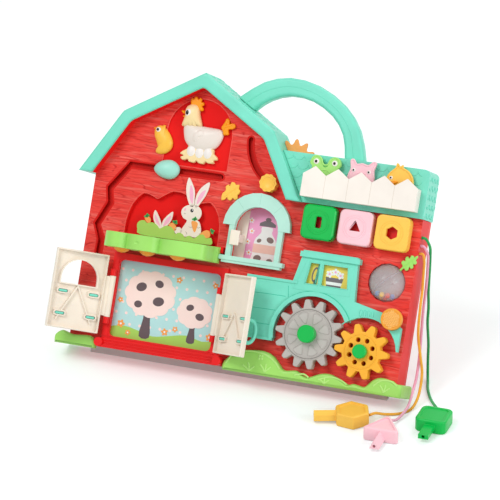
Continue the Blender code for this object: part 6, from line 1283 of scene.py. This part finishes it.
GRASS_Y = -8
for number, ((x, z), tips) in enumerate([
    ((26.3, 3.4), [(24.3, 12.6), (18.4, 9), (32.2, 9.6)]),
    ((44.8, 4.6), [(38.6, 12.4), (45.4, 14.2), (51.6, 11.6)]),
    ((115.3, 2.6), [(109.4, 6.8), (114.6, 9.8), (121, 7.4)]),
    ((184.6, 3.6), [(179.6, 10.8), (186, 12.6), (191.4, 9.2)]),
]):
    blades = [[(x, z), ((x + a) / 2 + 0.5, (z + b) / 2 + 0.4), (a, b)] for a, b in tips]
    tube(f"grass_fan_{number}", [on_plane(blade, GRASS_Y) for blade in blades], 0.95, "grass_light",
         flat=(GRASS_Y, 0.7))
dome("grass_flower", [(x, GRASS_Y, z, 1.5, 0.6, 1.5) for x, z in bow(37.9, 20.4, 2.3, 45, 315, 3)],
     "grass_light", sides=12, rings=8)
for number, line in enumerate([
    [(-2, 8), (4, 18), (14, 23.6), (28, 25.8), (42, 24.4), (54, 18.6), (62, 10.6)],
    [(80, 6.6), (90, 9.6), (97, 6.6)], [(108, 6), (122, 11.2), (134, 9.4), (142, 5.6)],
    [(172, 9), (181, 16.4), (192, 16.8), (199, 13)],
]):
    line_relief(f"grass_ridge_{number}", smooth(line, False, 6), GRASS_Y, 1, "grass_light", share=0.6)


# rounded rims: roof trim and grass

def cut_front(node, depth):
    """Takes away the part of a rounded copy that lies in front of a depth, for a rim of its own."""
    mesh = ROUNDED[node].data
    shape = bmesh.new()
    shape.from_mesh(mesh)
    bmesh.ops.bisect_plane(shape, geom=shape.verts[:] + shape.edges[:] + shape.faces[:],
                           plane_co=BOARD_MM @ Vector((0, depth, 0)),
                           plane_no=BOARD.to_3x3() @ Vector((0, 1, 0)), clear_inner=True)
    bmesh.ops.holes_fill(shape, edges=[edge for edge in shape.edges if edge.is_boundary], sides=0)
    shape.to_mesh(mesh)
    shape.free()


CORNER_STEPS = 4


def soft_corners(points, radius):
    """An open line whose inner corners are rounded."""
    line = [points[0]]
    for before, corner, after in zip(points, points[1:], points[2:]):
        corner = Vector(corner)
        first = corner + (Vector(before) - corner).normalized() * radius
        last = corner + (Vector(after) - corner).normalized() * radius
        for step in range(CORNER_STEPS + 1):
            t = step / CORNER_STEPS
            line.append(tuple(first * (1 - t) ** 2 + corner * 2 * t * (1 - t) + last * t ** 2))
    return line + [points[-1]]


TRIM_OUTER = [(-212.2, 199.5), (-169.3, 274.1), (-78, 329.4), (13.3, 274.1), (56.2, 199.5)]
TRIM_INNER = [(39.5, 199.5), (2.6, 263.6), (-78, 312.5), (-158.6, 263.6), (-195.5, 199.5)]
GRASS_RIGHT = smooth(shares_to([
    (0, 0), (0, 0.26), (0.03, 0.55), (0.09, 0.74), (0.13, 0.92), (0.22, 1), (0.29, 0.84), (0.345, 0.42),
    (0.375, 0.37), (0.43, 0.43), (0.47, 0.28), (0.505, 0.25), (0.57, 0.46), (0.63, 0.5), (0.7, 0.32),
    (0.735, 0.21), (0.765, 0.28), (0.8, 0.24), (0.83, 0.24), (0.87, 0.55), (0.91, 0.69), (0.96, 0.66),
    (1, 0.54),
], -6.2, 0, 202.7, 28), False, 6) + [(201.5, 14.8), (203.4, 13.6), (204, 11.6), (204, 0)]
GRASS_LEFT = smooth(shares_to([
    (0, 0), (0, 0.6), (0.15, 1), (0.3, 0.9), (0.45, 0.8), (0.85, 0.9), (1, 0.4), (1, 0),
], -211.5, 0, 49.7, 15), False, 6)
cut_front("roof_trim", -14.2)
cut_front("grass_right", -4.4)
cut_front("grass_left", -4.4)
relief("trim_rim", [soft_corners(TRIM_OUTER, 5) + soft_corners(TRIM_INNER, 4)], -17, -11.4, "mint", edge=2.6,
       steps=4)
relief("grass_right_rim", [GRASS_RIGHT], GRASS_Y, -0.3, "grass", edge=3.2, steps=4)
relief("grass_left_rim", [GRASS_LEFT], GRASS_Y, -0.3, "grass", edge=3, steps=4)


# cab: one opening behind the glazing frame, a card cut to the cab's slope

def carve(node, low, high):
    """Takes a box, given by two opposite board corners, out of a rounded copy."""
    shape = bmesh.new()
    bmesh.ops.create_cube(shape, size=1)
    for vertex in shape.verts:
        spot = Vector([(a + b) / 2 + share * (b - a) for a, b, share in zip(low, high, vertex.co)])
        vertex.co = BOARD @ (spot * MM)
    bmesh.ops.recalc_face_normals(shape, faces=shape.faces)
    cutter = place("cutter", mesh_of_shape("cutter", shape))
    blank = place("blank", ROUNDED[node].data)
    modifier = blank.modifiers.new("cut", "BOOLEAN")
    modifier.object = cutter
    modifier.solver = "EXACT"
    result = evaluated(blank)
    for obj in (cutter, blank):
        bpy.data.objects.remove(obj)
    for face in result.polygons:
        face.use_smooth = True
    ROUNDED[node].data = result


carve("tractor_body", (82.5, -9, 104.3), (90.6, -3.3, 133.7))
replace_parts(relief("cab_card", [[(63.6, 101.4), (129.2, 101.4), (129.2, 136.4), (74, 136.4)]],
                   CAB_Y, CAB_Y + 1, "card_yellow", edge=0.05, steps=1), "cab_picture")


# doors: handles with clips, seats for the clips, rounded corners of the doorway

HINGE_Y = -9
FIRST_CLIP = 19
PLATE_LEFT, PLATE_LOW, PLATE_HIGH = 13.75, 31.2, 62.5
PLATE_FRONT, PLATE_BACK = -5.7, -3.7
GRIP_LOW, GRIP_HIGH, GRIP_FOOT, GRIP_SPRING, GRIP_DEPTH = 34.1, 59.6, -4.9, -11.2, 8.55


def handle(door, axis_x, side, opened, spacing):
    """A handle on a door that stands open; side is 1 where the door reaches to the right of its hinge."""
    node = door + "_handle"
    body = BODY_OF[node]
    far = FIRST_CLIP + spacing + 5.25
    left, right = sorted((side * PLATE_LEFT, side * far))
    plate = rounded_box(left, right, PLATE_LOW, PLATE_HIGH, 2.4)
    pieces = [relief(node + "_plate", [plate], PLATE_FRONT, PLATE_BACK, "mint", body, 0.6)]
    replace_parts(pieces[0], node)
    x = side * (far - 6.25)
    middle, half = (GRIP_HIGH + GRIP_LOW) / 2, (GRIP_HIGH - GRIP_LOW) / 2
    loop = [(x, GRIP_SPRING - GRIP_DEPTH * a, middle + half * b) for a, b in bow(0, 0, 1, -90, 90, 24)]
    grip = [(x, GRIP_FOOT, GRIP_LOW), *loop, (x, GRIP_FOOT, GRIP_HIGH)]
    pieces.append(tube(node + "_grip", [grip], 2.25, "mint", body, steps=4))
    for near in (FIRST_CLIP, FIRST_CLIP + spacing):
        for number, z in enumerate((59.7, 34)):
            name = f"{node}_clip_{int(near)}_{number}"
            x = side * near
            clip = rounded_box(x - 5, x + 5, z - 1.3, z + 1.3, 1.2)
            seat = rounded_box(x - 6.5, x + 6.5, z - 2.5, z + 2.5, 2.4)
            pieces.append(relief(name, [clip], -3.8, 1, "mint", body, 0.4, 2))
            pieces.append(line_relief(name + "_seat", seat, 1.2, 0.85, "cream", BODY_OF[door], True, 0.6))
    swing = Matrix.Rotation(math.radians(-side * opened), 4, "Z")
    hinge = Matrix.Translation((axis_x * MM, HINGE_Y * MM, 0)) @ swing
    for piece in pieces:
        piece.data.transform(BOARD @ hinge @ BOARD.inverted())


handle("left_door", -152, 1, 147, 36)
handle("right_door", -21.7, -1, 145, 33)
relief("doorway_corners", [[(-149.4, 16.2), (-23.6, 16.2), (-23.6, 106.4), (-149.4, 106.4)],
                           rounded_box(-148.4, -24.6, 17.2, 105.4, 6, 6)[::-1]], -4.2, -0.4, "smooth_red")


# leaves, comb and nest with soft lobes

def lobed(node, shares, look, edge):
    """A flat figure with soft lobes in place of a rounded copy, between the copy's bounds.

    Returns a function that turns shares into board points, and the depth of the figure's front.
    """
    inverse = BOARD.inverted()
    copy = ROUNDED.pop(node)
    points = [inverse @ vertex.co / MM for vertex in copy.data.vertices]
    bpy.data.objects.remove(copy)
    line = smooth(shares, steps=5)
    spans = []
    for axis, own in ((0, 0), (1, 2)):
        low, high = min(p[own] for p in points), max(p[own] for p in points)
        first, last = min(p[axis] for p in line), max(p[axis] for p in line)
        spans.append((low, (high - low) / (last - first), first))

    def fitted(shares):
        return [tuple(low + (share - first) * scale for share, (low, scale, first) in zip(pair, spans))
                for pair in shares]

    front, back = min(p.y for p in points), max(p.y for p in points)
    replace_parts(relief(node + "_lobes", [fitted(line)], front, back, look, edge=edge, steps=4), node)
    return fitted, front


def leaf(node, shares, look, rib):
    """A lobed leaf with a rib through three points and veins across it."""
    fitted, front = lobed(node, shares, look, 0.9)
    rib = fitted(rib)
    line_relief(node + "_rib", smooth(rib, False), front, 0.5, look, share=0.8)
    for number, share in enumerate((0.3, 0.55, 0.78)):
        x, z = [a + (b - a) * share for a, b in zip(rib[0], rib[2])]
        line_relief(f"{node}_vein_{number}", [(x - 3.6, z + 1.6), (x, z), (x + 1, z - 4)], front, 0.32, look,
                    share=0.8)


lobed("hen_comb", [
    (-0.4, -0.16), (-0.48, 0.16), (-0.42, 0.42), (-0.3, 0.34), (-0.2, 0.54), (-0.02, 0.52), (0.08, 0.36),
    (0.22, 0.5), (0.36, 0.36), (0.36, 0.2), (0.54, 0.18), (0.56, -0.02), (0.44, -0.1), (0.6, -0.3),
    (0.46, -0.46), (0.24, -0.4), (0.02, -0.36), (-0.2, -0.36),
], "orange", 1.7)
lobed("hen_nest", [
    (-0.5, 0.12), (-0.36, 0.34), (-0.36, 0.5), (-0.2, 0.44), (0, 0.3), (0.2, 0.44), (0.38, 0.44),
    (0.4, 0.2), (0.5, 0.02), (0.52, -0.16), (0.42, -0.24), (0.44, -0.4), (0.28, -0.44), (0.2, -0.36),
    (0.14, -0.52), (0, -0.5), (-0.06, -0.38), (-0.14, -0.52), (-0.28, -0.48), (-0.32, -0.36),
    (-0.46, -0.44), (-0.54, -0.28), (-0.46, -0.16), (-0.56, -0.06),
], "straw", 1.4)
leaf("leaf_yellow", [
    (-0.5, -0.5), (-0.5, -0.18), (-0.34, 0.02), (-0.36, 0.24), (-0.2, 0.36), (-0.14, 0.28), (-0.06, 0.5),
    (0.12, 0.5), (0.22, 0.4), (0.4, 0.42), (0.42, 0.22), (0.52, 0.08), (0.46, -0.08), (0.4, -0.14),
    (0.44, -0.34), (0.28, -0.42), (0.16, -0.34), (0.04, -0.48), (-0.12, -0.44), (-0.2, -0.34),
    (-0.32, -0.48),
], "yellow", [(-0.4, -0.38), (0, 0), (0.38, 0.3)])
leaf("leaf_green", [
    (-0.54, -0.48), (-0.38, -0.26), (-0.5, -0.06), (-0.4, 0.1), (-0.26, 0.08), (-0.28, 0.28),
    (-0.14, 0.38), (-0.02, 0.28), (0.08, 0.46), (0.24, 0.46), (0.28, 0.38), (0.46, 0.5), (0.52, 0.4),
    (0.42, 0.24), (0.5, 0.08), (0.42, -0.04), (0.28, -0.06), (0.32, -0.24), (0.18, -0.34), (0.06, -0.24),
    (0.02, -0.42), (-0.14, -0.5), (-0.28, -0.38), (-0.46, -0.56),
], "leaf", [(-0.44, -0.44), (0, -0.02), (0.42, 0.4)])


# ribs along the door sill

SILL_LEFT, SILL_RIGHT = -149.6, -18.4
RIBS = 4
for step in range(RIBS):
    y, z = -12 + 2.36 * step, 5.9 + 3.2 * step
    tube(f"sill_rib_{step}", [[(x, y, z) for x in (SILL_LEFT, SILL_RIGHT)]], 0.75, "smooth_red")
    if step < RIBS - 1:
        tube(f"sill_line_{step}", [[(x, y - 0.1, z - 1.5) for x in (SILL_LEFT, SILL_RIGHT)]], 0.4,
             "smooth_red")
